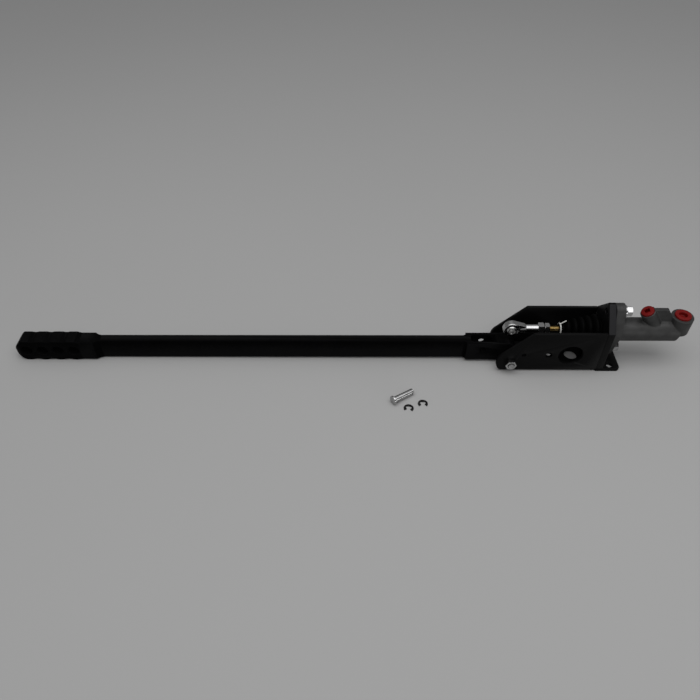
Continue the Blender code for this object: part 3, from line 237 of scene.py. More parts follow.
class LooseSettings(bpy.types.PropertyGroup):
    """Where the loose pin and clips lie on the table"""
    pin_x: spot("Pin X", "Clevis pin's head along the lever", -0.1572)
    pin_y: spot("Pin Y", "Clevis pin's head in front of the lever", -0.0864)
    pin_heading: bearing("Pin heading", "Way the clevis pin points", 34)
    clip_1_x: spot("First clip X", "First clip along the lever", -0.137)
    clip_1_y: spot("First clip Y", "First clip in front of the lever", -0.094)
    clip_1_heading: bearing("First clip heading", "Way the first clip's mouth points", -99)
    clip_2_x: spot("Second clip X", "Second clip along the lever", -0.1185)
    clip_2_y: spot("Second clip Y", "Second clip in front of the lever", -0.0865)
    clip_2_heading: bearing("Second clip heading", "Way the second clip's mouth points", -89)
    clip_mouth: bearing("Clip mouth", "Half the angle of the clips' mouth", 50)


class Finishes(bpy.types.PropertyGroup):
    """Colours of the finishes"""
    black_coat: tint("Black coating", "Coating of the bracket", 0.002, 0.002, 0.0021)
    black_anodised: tint("Black anodising", "Anodising of the lever", 0.0014, 0.0014, 0.0015)
    cast: tint("Casting", "Grey of the master cylinder", 0.033, 0.033, 0.0325)
    red: tint("Red plastic", "Colour of the port plugs", 0.18, 0.006, 0.0055)
    zinc: tint("Zinc", "Zinc plate of the fasteners", 0.5, 0.5, 0.5)
    yellow_zinc: tint("Yellow zinc", "Plate of the pushrod", 0.5, 0.38, 0.17)
    steel: tint("Bare steel", "Colour of bare steel", 0.56, 0.56, 0.55)
    aluminium: tint("Bare aluminium", "Colour of turned aluminium", 0.7, 0.7, 0.71)
    bronze: tint("Bronze", "Colour of the bushes", 0.42, 0.26, 0.12)
    rubber: tint("Rubber", "Colour of boot and seals", 0.0011, 0.0011, 0.0011)
    nylon: tint("Nylon", "Colour of the tie", 0.78, 0.78, 0.74)
    black_oxide: tint("Black oxide", "Colour of the E-clips", 0.004, 0.004, 0.004)
    # Painted light: a lighter colour for the end plate's sloped faces, standing in for the light they catch.
    plate_slope_light: tint("Plate slope light", "Painted light on the end plate's sloped faces", 0.018, 0.018, 0.0193)


class StageSettings(bpy.types.PropertyGroup):
    """Floor, lamps and camera"""
    floor: tint("Floor", "Colour of the floor", 0.385, 0.385, 0.383)
    key: amount("Key lamp", "Watts of the wide panel overhead", 16.0, 200.0)
    front: amount("Front lamp", "Watts of the low strip in front", 3.6, 200.0)
    world: amount("Surround", "Strength of the surround", 1.0, 2.0)
    camera_x: spot("Camera X", "Camera along the lever", -0.2115)
    camera_y: spot("Camera Y", "Camera in front of the lever", -0.619)
    camera_z: length("Camera height", "Camera above the floor", 630.0)
    camera_down: bearing("Camera tilt", "How far the camera looks down", 45)
    focal: bpy.props.FloatProperty(name="Focal length", description="Lens for a 36 mm sensor",
                                   default=33.2, unit="CAMERA")
    camera_roll: bearing("Camera roll", "Turn about the line of sight", 0.22)
    camera_shift: bpy.props.FloatProperty(name="Camera shift", description="Share of the picture's width",
                                          default=-0.0007, precision=4)


def settings(group):
    """One group of settings from the scene."""
    return getattr(bpy.context.scene, "handbrake_" + group)


def deselect():
    """Object mode with nothing selected."""
    if bpy.context.mode != "OBJECT":
        bpy.ops.object.mode_set(mode="OBJECT")
    bpy.ops.object.select_all(action="DESELECT")


def choose(piece):
    """Return spring inside the cylinder"""
    deselect()
    piece.select_set(True)
    bpy.context.view_layer.objects.active = piece


def draw(name, points, closed=False, filled=False):
    """Draw a line through the points by extruding one corner of a plane from point to point."""
    deselect()
    bpy.ops.mesh.primitive_plane_add(size=MM, location=(0, 0, 0))
    piece = bpy.context.object
    piece.name = name
    bpy.ops.object.mode_set(mode="EDIT")
    bpy.ops.mesh.select_all(action="SELECT")
    bpy.ops.mesh.merge(type="CENTER")
    bpy.ops.transform.translate(value=points[0])
    for last, point in zip(points, points[1:]):
        step = Vector(point) - Vector(last)
        bpy.ops.mesh.extrude_region_move(TRANSFORM_OT_translate={"value": step})
    if filled:
        bpy.ops.mesh.select_all(action="SELECT")
        bpy.ops.mesh.edge_face_add()
    elif closed:
        bpy.ops.object.mode_set(mode="OBJECT")
        corners = piece.data.vertices
        for corner in corners:
            corner.select = corner.index in (0, len(corners) - 1)
        bpy.ops.object.mode_set(mode="EDIT")
        bpy.ops.mesh.edge_face_add()
    bpy.ops.mesh.select_all(action="SELECT")
    return piece


def close_edit():
    """Merge doubled corners, point the faces outward and leave edit mode."""
    bpy.ops.mesh.select_all(action="SELECT")
    bpy.ops.mesh.remove_doubles(threshold=MERGE)
    bpy.ops.mesh.dissolve_degenerate(threshold=MERGE)
    bpy.ops.mesh.select_all(action="SELECT")
    bpy.ops.mesh.normals_make_consistent(inside=False)
    bpy.ops.object.mode_set(mode="OBJECT")


PLANES = {
    "X": lambda a, b, t: Vector((t, a, b)),
    "Y": lambda a, b, t: Vector((a, t, b)),
    "Z": lambda a, b, t: Vector((a, b, t)),
}


def slab(name, outline, across, low, high):
    """Outline filled and extruded between two planes across an axis."""
    place = PLANES[across]
    piece = draw(name, [place(a, b, low) for a, b in outline], filled=True)
    bpy.ops.mesh.extrude_region_move(TRANSFORM_OT_translate={"value": place(0, 0, high - low)})
    close_edit()
    return piece


def lathe(name, profile, steps=64, centre=(0, 0, 0), heading=(1, 0, 0)):
    """Profile of (along, radius) points spun about the heading through the centre."""
    solid = profile[0][1] == 0 and profile[-1][1] == 0
    piece = draw(name, [(along, 0, radius) for along, radius in profile], closed=not solid)
    bpy.ops.mesh.spin(steps=steps, angle=FULL_TURN, center=(0, 0, 0), axis=(1, 0, 0), use_auto_merge=True)
    close_edit()
    turn = Vector((1, 0, 0)).rotation_difference(Vector(heading).normalized()).to_matrix().to_4x4()
    seat(piece, Matrix.Translation(centre) @ turn)
    return piece


def seat(piece, place):
    """Put a piece in its place and keep the place in its mesh."""
    choose(piece)
    piece.matrix_world = place @ piece.matrix_world
    bpy.ops.object.transform_apply(location=True, rotation=True, scale=True)


def rod(name, start, end, radius, steps=48):
    """Round bar between two points."""
    run = Vector(end) - Vector(start)
    return lathe(name, [(0, 0), (0, radius), (run.length, radius), (run.length, 0)], steps, start, run)


def arc(centre, radius, start, end, steps):
    """Points of an arc, angles in degrees."""
    turns = [math.radians(start + (end - start) * step / steps) for step in range(steps + 1)]
    return [(centre[0] + radius * math.cos(turn), centre[1] + radius * math.sin(turn)) for turn in turns]


def m8_hole():
    """Radius of a hole that an M8 thread passes through."""
    size = settings("hardware")
    return size.m8 + size.gap


def ring_profile(low, high, hole, wide, edge):
    """Profile of a ring whose outer corners are chamfered."""
    return [(low, hole), (low, wide - edge), (low + edge, wide),
            (high - edge, wide), (high, wide - edge), (high, hole)]


def hexagon(flats):
    """Hexagon by its width across flats, with a flat at the top."""
    corner = flats / math.sqrt(3)
    return [(corner * math.cos(math.radians(60 * side)), corner * math.sin(math.radians(60 * side)))
            for side in range(6)]


def boolean(piece, others, operation="DIFFERENCE"):
    """Cut with, join to or keep what is shared with other shapes, which are used up."""
    for other in others:
        choose(piece)
        change = piece.modifiers.new("cut", "BOOLEAN")
        change.operation = operation
        change.solver = "EXACT"
        change.object = other
        bpy.ops.object.modifier_apply(modifier=change.name)
        choose(other)
        bpy.ops.object.delete()
    choose(piece)
    bpy.ops.object.mode_set(mode="EDIT")
    close_edit()
    return piece


def soften(piece, width, segments=2, angle=30):
    """Round or chamfer the sharp edges."""
    choose(piece)
    change = piece.modifiers.new("edges", "BEVEL")
    change.width = width
    change.segments = segments
    change.limit_method = "ANGLE"
    change.angle_limit = math.radians(angle)
    change.use_clamp_overlap = True
    bpy.ops.object.modifier_apply(modifier=change.name)
    return piece


def forge(piece, voxel, rounds, factor=0.5):
    """Blend joined shapes into one forged or cast skin."""
    choose(piece)
    skin = piece.modifiers.new("skin", "REMESH")
    skin.mode = "VOXEL"
    skin.voxel_size = voxel
    bpy.ops.object.modifier_apply(modifier=skin.name)
    even = piece.modifiers.new("even", "SMOOTH")
    even.iterations = rounds
    even.factor = factor
    bpy.ops.object.modifier_apply(modifier=even.name)
    return piece


def join_pieces(name, pieces):
    """Several closed shapes in one object."""
    deselect()
    for piece in pieces:
        piece.select_set(True)
    bpy.context.view_layer.objects.active = pieces[0]
    bpy.ops.object.join()
    pieces[0].name = name
    return pieces[0]


def keep(piece, name, body, slot, nodes, smooth=35, finish=None):
    """Name, finish, shading, body and replaced nodes of a finished piece; a body of None leaves it
    unattached.
    """
    choose(piece)
    piece.name = name
    piece.data.name = name
    bpy.ops.object.shade_smooth_by_angle(angle=math.radians(smooth))
    piece.data.materials.clear()
    piece.data.materials.append(finish_for(finish or slot))
    if body:
        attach(piece, body)
    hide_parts(*nodes)
    deselect()
    return piece


def wound(name, outline, pitch, turns, centre_z):
    """Outline of (along, radius) points wound along X by the screw modifier."""
    piece = draw(name, [(along, 0, radius) for along, radius in outline], closed=True)
    bpy.ops.object.mode_set(mode="OBJECT")
    wind = piece.modifiers.new("wind", "SCREW")
    wind.axis = "X"
    wind.angle = FULL_TURN
    wind.screw_offset = pitch
    wind.steps = 28
    wind.render_steps = 28
    wind.iterations = turns
    wind.use_merge_vertices = False
    bpy.ops.object.modifier_apply(modifier=wind.name)
    bpy.ops.object.mode_set(mode="EDIT")
    bpy.ops.mesh.select_all(action="SELECT")
    bpy.ops.mesh.remove_doubles(threshold=MERGE)
    bpy.ops.mesh.fill_holes(sides=len(outline) + 1)
    close_edit()
    seat(piece, Matrix.Translation((0, 0, centre_z)))
    return piece


def thread(name, start, run, radius, pitch, centre_z):
    """Raised thread: a tooth's triangle wound along X."""
    root = radius - pitch * 0.6
    tooth = [(start, root), (start + pitch * 0.46, radius), (start + pitch * 0.92, root)]
    return wound(name, tooth, pitch, max(1, int(run / pitch) - 1), centre_z)


def node_group(name, inputs, outputs):
    """Empty shader group with named sockets."""
    group = bpy.data.node_groups.new(name, "ShaderNodeTree")
    for label, kind, default in inputs:
        socket = group.interface.new_socket(name=label, in_out="INPUT", socket_type="NodeSocket" + kind)
        if default is not None:
            socket.default_value = default
    for label, kind in outputs:
        group.interface.new_socket(name=label, in_out="OUTPUT", socket_type="NodeSocket" + kind)
    return group, group.nodes.new("NodeGroupInput"), group.nodes.new("NodeGroupOutput")


def shader_math(tree, operation, first, second, clamp=False):
    """One Math node; numbers or sockets go in."""
    node = tree.nodes.new("ShaderNodeMath")
    node.operation = operation
    node.use_clamp = clamp
    for socket, value in zip(node.inputs, (first, second)):
        if isinstance(value, (int, float)):
            socket.default_value = value
        else:
            tree.links.new(value, socket)
    return node.outputs[0]


def blend_colour(tree, share, first, second):
    """Colour mix of two colours or sockets by a share."""
    node = tree.nodes.new("ShaderNodeMix")
    node.data_type = "RGBA"
    tree.links.new(share, node.inputs["Factor"])
    for socket, value in ((node.inputs[6], first), (node.inputs[7], second)):
        if isinstance(value, (tuple, list)):
            socket.default_value = (*value[:3], 1.0)
        else:
            tree.links.new(value, socket)
    return node.outputs[2]


def noise(tree, where, scale, detail=2.0, rough=0.5):
    """Noise value at a place."""
    node = tree.nodes.new("ShaderNodeTexNoise")
    node.inputs["Scale"].default_value = scale
    node.inputs["Detail"].default_value = detail
    node.inputs["Roughness"].default_value = rough
    tree.links.new(where, node.inputs["Vector"])
    return node.outputs["Fac"]


def spread(tree, value, low, high, to_low=0.0, to_high=1.0):
    """Stretch a value between two levels, clamped."""
    node = tree.nodes.new("ShaderNodeMapRange")
    node.inputs["From Min"].default_value = low
    node.inputs["From Max"].default_value = high
    node.inputs["To Min"].default_value = to_low
    node.inputs["To Max"].default_value = to_high
    tree.links.new(value, node.inputs["Value"])
    return node.outputs["Result"]


def make_wear_group():
    """Mask of rubbed edges: raised corners broken up by noise."""
    group, given, out = node_group("Rubbed Edges", [("Vector", "Vector", None), ("Amount", "Float", 0.5),
                                                    ("Level", "Float", 0.53)], [("Mask", "Float")])
    shape = group.nodes.new("ShaderNodeNewGeometry")
    broken = noise(group, given.outputs["Vector"], 420.0, 4.0, 0.6)
    lifted = shader_math(group, "ADD", shape.outputs["Pointiness"],
                         shader_math(group, "MULTIPLY", shader_math(group, "SUBTRACT", broken, 0.5), 0.06))
    rise = shader_math(group, "SUBTRACT", lifted, given.outputs["Level"])
    mask = shader_math(group, "MULTIPLY", rise, 22.0, clamp=True)
    amount_out = shader_math(group, "MULTIPLY", mask, given.outputs["Amount"])
    group.links.new(amount_out, out.inputs["Mask"])
    return group


def make_grain_group():
    """Fine grain of a coating or casting: a height and a colour value."""
    group, given, out = node_group("Surface Grain", [("Vector", "Vector", None), ("Fine", "Float", 1500.0),
                                                     ("Broad", "Float", 60.0)],
                                   [("Height", "Float"), ("Cloud", "Float")])
    fine = group.nodes.new("ShaderNodeTexNoise")
    fine.inputs["Detail"].default_value = 3.0
    broad = group.nodes.new("ShaderNodeTexNoise")
    broad.inputs["Detail"].default_value = 4.0
    for node, scale in ((fine, "Fine"), (broad, "Broad")):
        group.links.new(given.outputs["Vector"], node.inputs["Vector"])
        group.links.new(given.outputs[scale], node.inputs["Scale"])
    group.links.new(fine.outputs["Fac"], out.inputs["Height"])
    group.links.new(broad.outputs["Fac"], out.inputs["Cloud"])
    return group


def make_dust_group():
    """Light dust that gathers on faces that look up."""
    group, given, out = node_group("Dust", [("Vector", "Vector", None), ("Amount", "Float", 0.1)],
                                   [("Mask", "Float")])
    shape = group.nodes.new("ShaderNodeNewGeometry")
    split = group.nodes.new("ShaderNodeSeparateXYZ")
    group.links.new(shape.outputs["Normal"], split.inputs[0])
    up = spread(group, split.outputs["Z"], 0.2, 1.0)
    specks = spread(group, noise(group, given.outputs["Vector"], 700.0, 5.0, 0.7), 0.55, 0.8)
    clouds = noise(group, given.outputs["Vector"], 35.0, 3.0)
    mixed = shader_math(group, "MULTIPLY", up, shader_math(group, "ADD", specks, clouds))
    group.links.new(shader_math(group, "MULTIPLY", mixed, given.outputs["Amount"], clamp=True),
                    out.inputs["Mask"])
    return group


def group_node(tree, group, where, **values):
    """Place a shared group in a material."""
    node = tree.nodes.new("ShaderNodeGroup")
    node.node_tree = group
    tree.links.new(where, node.inputs["Vector"])
    for label, value in values.items():
        node.inputs[label].default_value = value
    return node


GROUPS = {}


def shared(name, maker):
    """A shared node group, built once."""
    if name not in GROUPS:
        GROUPS[name] = maker()
    return GROUPS[name]


def start_material(name):
    """New material: its tree, its shader and the object coordinates."""
    made = bpy.data.materials.new(name)
    made.use_nodes = True
    tree = made.node_tree
    where = tree.nodes.new("ShaderNodeTexCoord").outputs["Object"]
    return made, tree, tree.nodes["Principled BSDF"], where


def stretched(tree, where, scale):
    """Coordinates scaled by axis, for brushed or milled marks."""
    node = tree.nodes.new("ShaderNodeMapping")
    node.inputs["Scale"].default_value = scale
    tree.links.new(where, node.inputs["Vector"])
    return node.outputs["Vector"]


def bump(tree, shader, height, strength, distance):
    """Bump from a height value."""
    node = tree.nodes.new("ShaderNodeBump")
    node.inputs["Strength"].default_value = strength
    node.inputs["Distance"].default_value = distance
    tree.links.new(height, node.inputs["Height"])
    tree.links.new(node.outputs["Normal"], shader.inputs["Normal"])


def slope_share(tree):
    """Share of a face that slopes sideways and up, as the end plate's roof does; these faces get painted
    light.
    """
    split = tree.nodes.new("ShaderNodeSeparateXYZ")
    tree.links.new(tree.nodes.new("ShaderNodeNewGeometry").outputs["Normal"], split.inputs[0])
    sideways = shader_math(tree, "ABSOLUTE", split.outputs["Y"], 0.0)
    return spread(tree, shader_math(tree, "MULTIPLY", sideways, split.outputs["Z"]), 0.2, 0.45)


def coated_steel(name, coat, shine, slopes=None):
    """Satin coating: fine orange peel, rubbed edges, a little dust; sloped faces may get painted light, a
    lighter colour for the light they catch.
    """
    made, tree, shader, where = start_material(name)
    grain = group_node(tree, shared("grain", make_grain_group), where, Fine=1900.0, Broad=45.0)
    wear = group_node(tree, shared("wear", make_wear_group), where, Amount=0.6, Level=0.56)
    dust = group_node(tree, shared("dust", make_dust_group), where, Amount=0.003)
    rubbed = tuple(value * 1.4 + 0.014 for value in coat)
    base = blend_colour(tree, wear.outputs["Mask"], tuple(coat), rubbed)
    base = blend_colour(tree, dust.outputs["Mask"], base, (0.3, 0.29, 0.28))
    # Painted light: faces that slope sideways and up get the lighter slope colour for the light they catch.
    if slopes:
        base = blend_colour(tree, slope_share(tree), base, tuple(slopes))
    tree.links.new(base, shader.inputs["Base Color"])
    tree.links.new(spread(tree, grain.outputs["Cloud"], 0.3, 0.7, 0.42, 0.54), shader.inputs["Roughness"])
    shader.inputs["Specular IOR Level"].default_value = shine
    bump(tree, shader, grain.outputs["Height"], 0.28, 0.00012)
    return made


def anodised_lever():
    """Black anodised aluminium with faint milling marks along the lever."""
    look = settings("finishes")
    made, tree, shader, where = start_material("black anodised aluminium")
    lines = noise(tree, stretched(tree, where, (12.0, 900.0, 900.0)), 1.0, 3.0, 0.6)
    clouds = noise(tree, where, 30.0, 3.0)
    wear = group_node(tree, shared("wear", make_wear_group), where, Amount=0.18, Level=0.535)
    dust = group_node(tree, shared("dust", make_dust_group), where, Amount=0.003)
    base = blend_colour(tree, spread(tree, clouds, 0.35, 0.7), tuple(look.black_anodised),
                        (0.002, 0.002, 0.0022))
    base = blend_colour(tree, wear.outputs["Mask"], base, (0.024, 0.024, 0.025))
    base = blend_colour(tree, dust.outputs["Mask"], base, (0.3, 0.29, 0.28))
    tree.links.new(base, shader.inputs["Base Color"])
    tree.links.new(spread(tree, lines, 0.3, 0.7, 0.36, 0.5), shader.inputs["Roughness"])
    shader.inputs["Specular IOR Level"].default_value = 0.01
    bump(tree, shader, lines, 0.12, 0.00008)
    return made


def cast_grey():
    """Sand-cast skin: pitted grain, mottled grey, lighter on rubbed edges."""
    look = settings("finishes")
    made, tree, shader, where = start_material("cast grey")
    grain = group_node(tree, shared("grain", make_grain_group), where, Fine=1100.0, Broad=90.0)
    wear = group_node(tree, shared("wear", make_wear_group), where, Amount=0.4, Level=0.53)
    dark = tuple(value * 0.72 for value in look.cast)
    base = blend_colour(tree, spread(tree, grain.outputs["Cloud"], 0.35, 0.65), dark, tuple(look.cast))
    base = blend_colour(tree, wear.outputs["Mask"], base, (0.11, 0.11, 0.108))
    tree.links.new(base, shader.inputs["Base Color"])
    tree.links.new(spread(tree, grain.outputs["Cloud"], 0.3, 0.7, 0.62, 0.46), shader.inputs["Roughness"])
    shader.inputs["Metallic"].default_value = 0.25
    bump(tree, shader, grain.outputs["Height"], 0.55, 0.0002)
    return made


def plated(name, colour, rough, brushed):
    """Plated or bare metal with fine marks and faint stains."""
    made, tree, shader, where = start_material(name)
    marks = noise(tree, stretched(tree, where, brushed), 1.0, 3.0, 0.65)
    stain = noise(tree, where, 160.0, 4.0)
    dark = tuple(value * 0.74 for value in colour)
    base = blend_colour(tree, spread(tree, stain, 0.4, 0.72), tuple(colour), dark)
    tree.links.new(base, shader.inputs["Base Color"])
    tree.links.new(spread(tree, marks, 0.3, 0.7, rough * 0.8, rough * 1.3), shader.inputs["Roughness"])
    shader.inputs["Metallic"].default_value = 1.0
    bump(tree, shader, marks, 0.05, 0.00005)
    return made


def red_plastic():
    """Moulded red plug: soft sheen, flow clouds, fine texture."""
    look = settings("finishes")
    made, tree, shader, where = start_material("red plastic")
    grain = group_node(tree, shared("grain", make_grain_group), where, Fine=1400.0, Broad=130.0)
    dark = tuple(value * 0.7 for value in look.red)
    base = blend_colour(tree, spread(tree, grain.outputs["Cloud"], 0.3, 0.7), dark, tuple(look.red))
    tree.links.new(base, shader.inputs["Base Color"])
    tree.links.new(spread(tree, grain.outputs["Cloud"], 0.3, 0.7, 0.32, 0.45), shader.inputs["Roughness"])
    shader.inputs["Specular IOR Level"].default_value = 0.15
    bump(tree, shader, grain.outputs["Height"], 0.12, 0.0001)
    return made


def soft_material(name, colour, rough_low, rough_high, grain_bump, shine):
    """Rubber or nylon: cloudy sheen and a moulded grain."""
    made, tree, shader, where = start_material(name)
    grain = group_node(tree, shared("grain", make_grain_group), where, Fine=1700.0, Broad=110.0)
    dark = tuple(value * 0.7 for value in colour)
    base = blend_colour(tree, spread(tree, grain.outputs["Cloud"], 0.3, 0.7), dark, tuple(colour))
    tree.links.new(base, shader.inputs["Base Color"])
    tree.links.new(spread(tree, grain.outputs["Cloud"], 0.3, 0.7, rough_low, rough_high),
                   shader.inputs["Roughness"])
    shader.inputs["Specular IOR Level"].default_value = shine
    bump(tree, shader, grain.outputs["Height"], grain_bump, 0.0001)
    return made


def floor_material():
    """Plain pale floor with the faintest cloud."""
    made, tree, shader, where = start_material("floor")
    clouds = noise(tree, where, 1.2, 3.0)
    tone = tuple(settings("stage").floor)
    light = tuple(min(1.0, value * 1.02) for value in tone)
    base = blend_colour(tree, spread(tree, clouds, 0.3, 0.7), tone, light)
    tree.links.new(base, shader.inputs["Base Color"])
    tree.links.new(spread(tree, clouds, 0.3, 0.7, 0.78, 0.86), shader.inputs["Roughness"])
    shader.inputs["Specular IOR Level"].default_value = 0.2
    return made


def make_materials():
    """Every finish by its slot's name."""
    look = settings("finishes")
    return {
        "black_coated_steel": coated_steel("black coated steel", look.black_coat, 0.085),
        # The end plate's finish paints light onto its sloped faces.
        "satin_plate_slope_light": coated_steel("satin coated plate with painted slope light", look.black_coat, 0.12, look.plate_slope_light),
        "black_anodised_aluminium": anodised_lever(),
        "cast_grey": cast_grey(),
        "zinc_plated_steel": plated("zinc plate", look.zinc, 0.16, (500.0, 500.0, 500.0)),
        "yellow_zinc_steel": plated("yellow zinc plate", look.yellow_zinc, 0.3, (400.0, 400.0, 400.0)),
        "bare_steel": plated("bare steel", look.steel, 0.22, (300.0, 900.0, 300.0)),
        "bare_aluminium": plated("turned aluminium", look.aluminium, 0.3, (1400.0, 80.0, 80.0)),
        "bronze": plated("sintered bronze", look.bronze, 0.42, (900.0, 900.0, 900.0)),
        "black_oxide_steel": soft_material("black oxide", look.black_oxide, 0.3, 0.42, 0.1, 0.2),
        "red_plastic": red_plastic(),
        "black_rubber": soft_material("black rubber", look.rubber, 0.5, 0.7, 0.25, 0.035),
        "white_nylon": soft_material("white nylon", look.nylon, 0.35, 0.5, 0.08, 0.25),
    }


MATERIALS = {}


def finish_for(slot):
    """The finish of a slot, made with the others on first use."""
    if not MATERIALS:
        MATERIALS.update(make_materials())
    return MATERIALS[slot]


def bracket_side():
    """Side view of the bracket: nose, slope, flat top, square end."""
    size = settings("bracket")
    foot = 180.0 + math.degrees(math.asin(size.pivot_height / size.nose))
    nose = arc((0, size.pivot_height), size.nose, 90 + math.degrees(size.slope), foot, 40)
    top_x = nose[0][0] + (size.top - nose[0][1]) / math.tan(size.slope)
    nose[-1] = (nose[-1][0], -REACH)
    return [(top_x, size.top)] + nose + [(size.side_end, -REACH), (size.side_end, size.top)]


def bracket_section():
    """End view of the folded sheet with its bend radii."""
    size = settings("bracket")
    half = size.width / 2
    outer = size.bend + size.sheet
    over = size.top + REACH
    side = arc((half - outer, outer), outer, -90, 0, 10) + [(half, over), (half - size.sheet, over)]
    side += arc((half - outer, outer), size.bend, 0, -90, 8)
    return side + [(-y, z) for y, z in reversed(side)]


class HANDBRAKE_OT_bracket(bpy.types.Operator):
    """Folded steel bracket with its holes and softened edges"""
    bl_idname = "handbrake.bracket"
    bl_label = "Bracket"

    def execute(self, context):
        size = settings("bracket")
        half = size.width / 2
        channel = slab("channel", bracket_section(), "X", -size.nose - REACH, size.side_end + REACH)
        boolean(channel, [slab("side", bracket_side(), "Y", -size.width, size.width)], "INTERSECT")
        inner = half - size.sheet
        tail = [(size.side_end - size.base_corner, inner), (size.side_end, inner)]
        tail += [(size.side_end + 0.3 * MM, half)]
        tail += arc((size.base_end - size.base_corner, half - size.base_corner), size.base_corner, 90, 0, 12)
        tail += [(x, -y) for x, y in reversed(tail)]
        boolean(channel, [slab("tail", tail, "Z", 0, size.sheet)], "UNION")
        through = half + REACH
        holes = [rod("hole", (0, -through, size.pivot_height), (0, through, size.pivot_height), m8_hole())]
        for x, radius, end in ((size.front_hole_x, size.front_hole, through),
                               (size.middle_hole_x, size.middle_hole, through),
                               (size.large_hole_x, size.large_hole, 0)):
            holes.append(rod("hole", (x, -through, size.hole_height), (x, end, size.hole_height), radius, 72))
        side = half - size.mount_inset
        for x, y, radius in ((size.drain_x, 0, size.drain), (size.window_x, 0, size.window),
                             (size.mount_x, side, size.mount_hole), (size.mount_x, -side, size.mount_hole)):
            holes.append(rod("hole", (x, y, -REACH), (x, y, size.sheet + REACH), radius))
        boolean(channel, holes)
        soften(channel, size.edge, 2, 40)
        keep(channel, "bracket", "frame", "black_coated_steel", ["bracket_channel"])
        return {"FINISHED"}


class HANDBRAKE_OT_cylinder_plate(bpy.types.Operator):
    """House-shaped plate across the bracket's end"""
    bl_idname = "handbrake.cylinder_plate"
    bl_label = "Cylinder Plate"

    def execute(self, context):
        size, cylinder = settings("bracket"), settings("cylinder")
        low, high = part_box("cylinder_plate")
        half = size.width / 2
        outline = [(-half, low.z), (half, low.z), (half, size.top), (size.plate_flat, high.z)]
        outline += [(-size.plate_flat, high.z), (-half, size.top)]
        plate = slab("plate", outline, "X", low.x, high.x)
        soften(plate, 0.9 * MM, 3, 30)
        axis = cylinder.axis_height
        holes = []
        for z, radius, steps in ((axis, cylinder.spigot + 0.3 * MM, 72),
                                 (axis - cylinder.bolt_span, m8_hole(), 48),
                                 (axis + cylinder.bolt_span, m8_hole(), 48)):
            holes.append(rod("hole", (low.x - REACH, 0, z), (high.x + REACH, 0, z), radius, steps))
        boolean(plate, holes)
        # The end plate's sloped faces get painted light from its finish.
        keep(plate, "end_plate", "frame", "black_coated_steel", ["cylinder_plate"], finish="satin_plate_slope_light")
        return {"FINISHED"}


def outlet_axis():
    """Outlet rim's centre and the way it points."""
    size = settings("cylinder")
    way = Vector((-math.sin(size.outlet_lean), 0, math.cos(size.outlet_lean)))
    return Vector((size.outlet_x, 0, size.outlet_z)), way


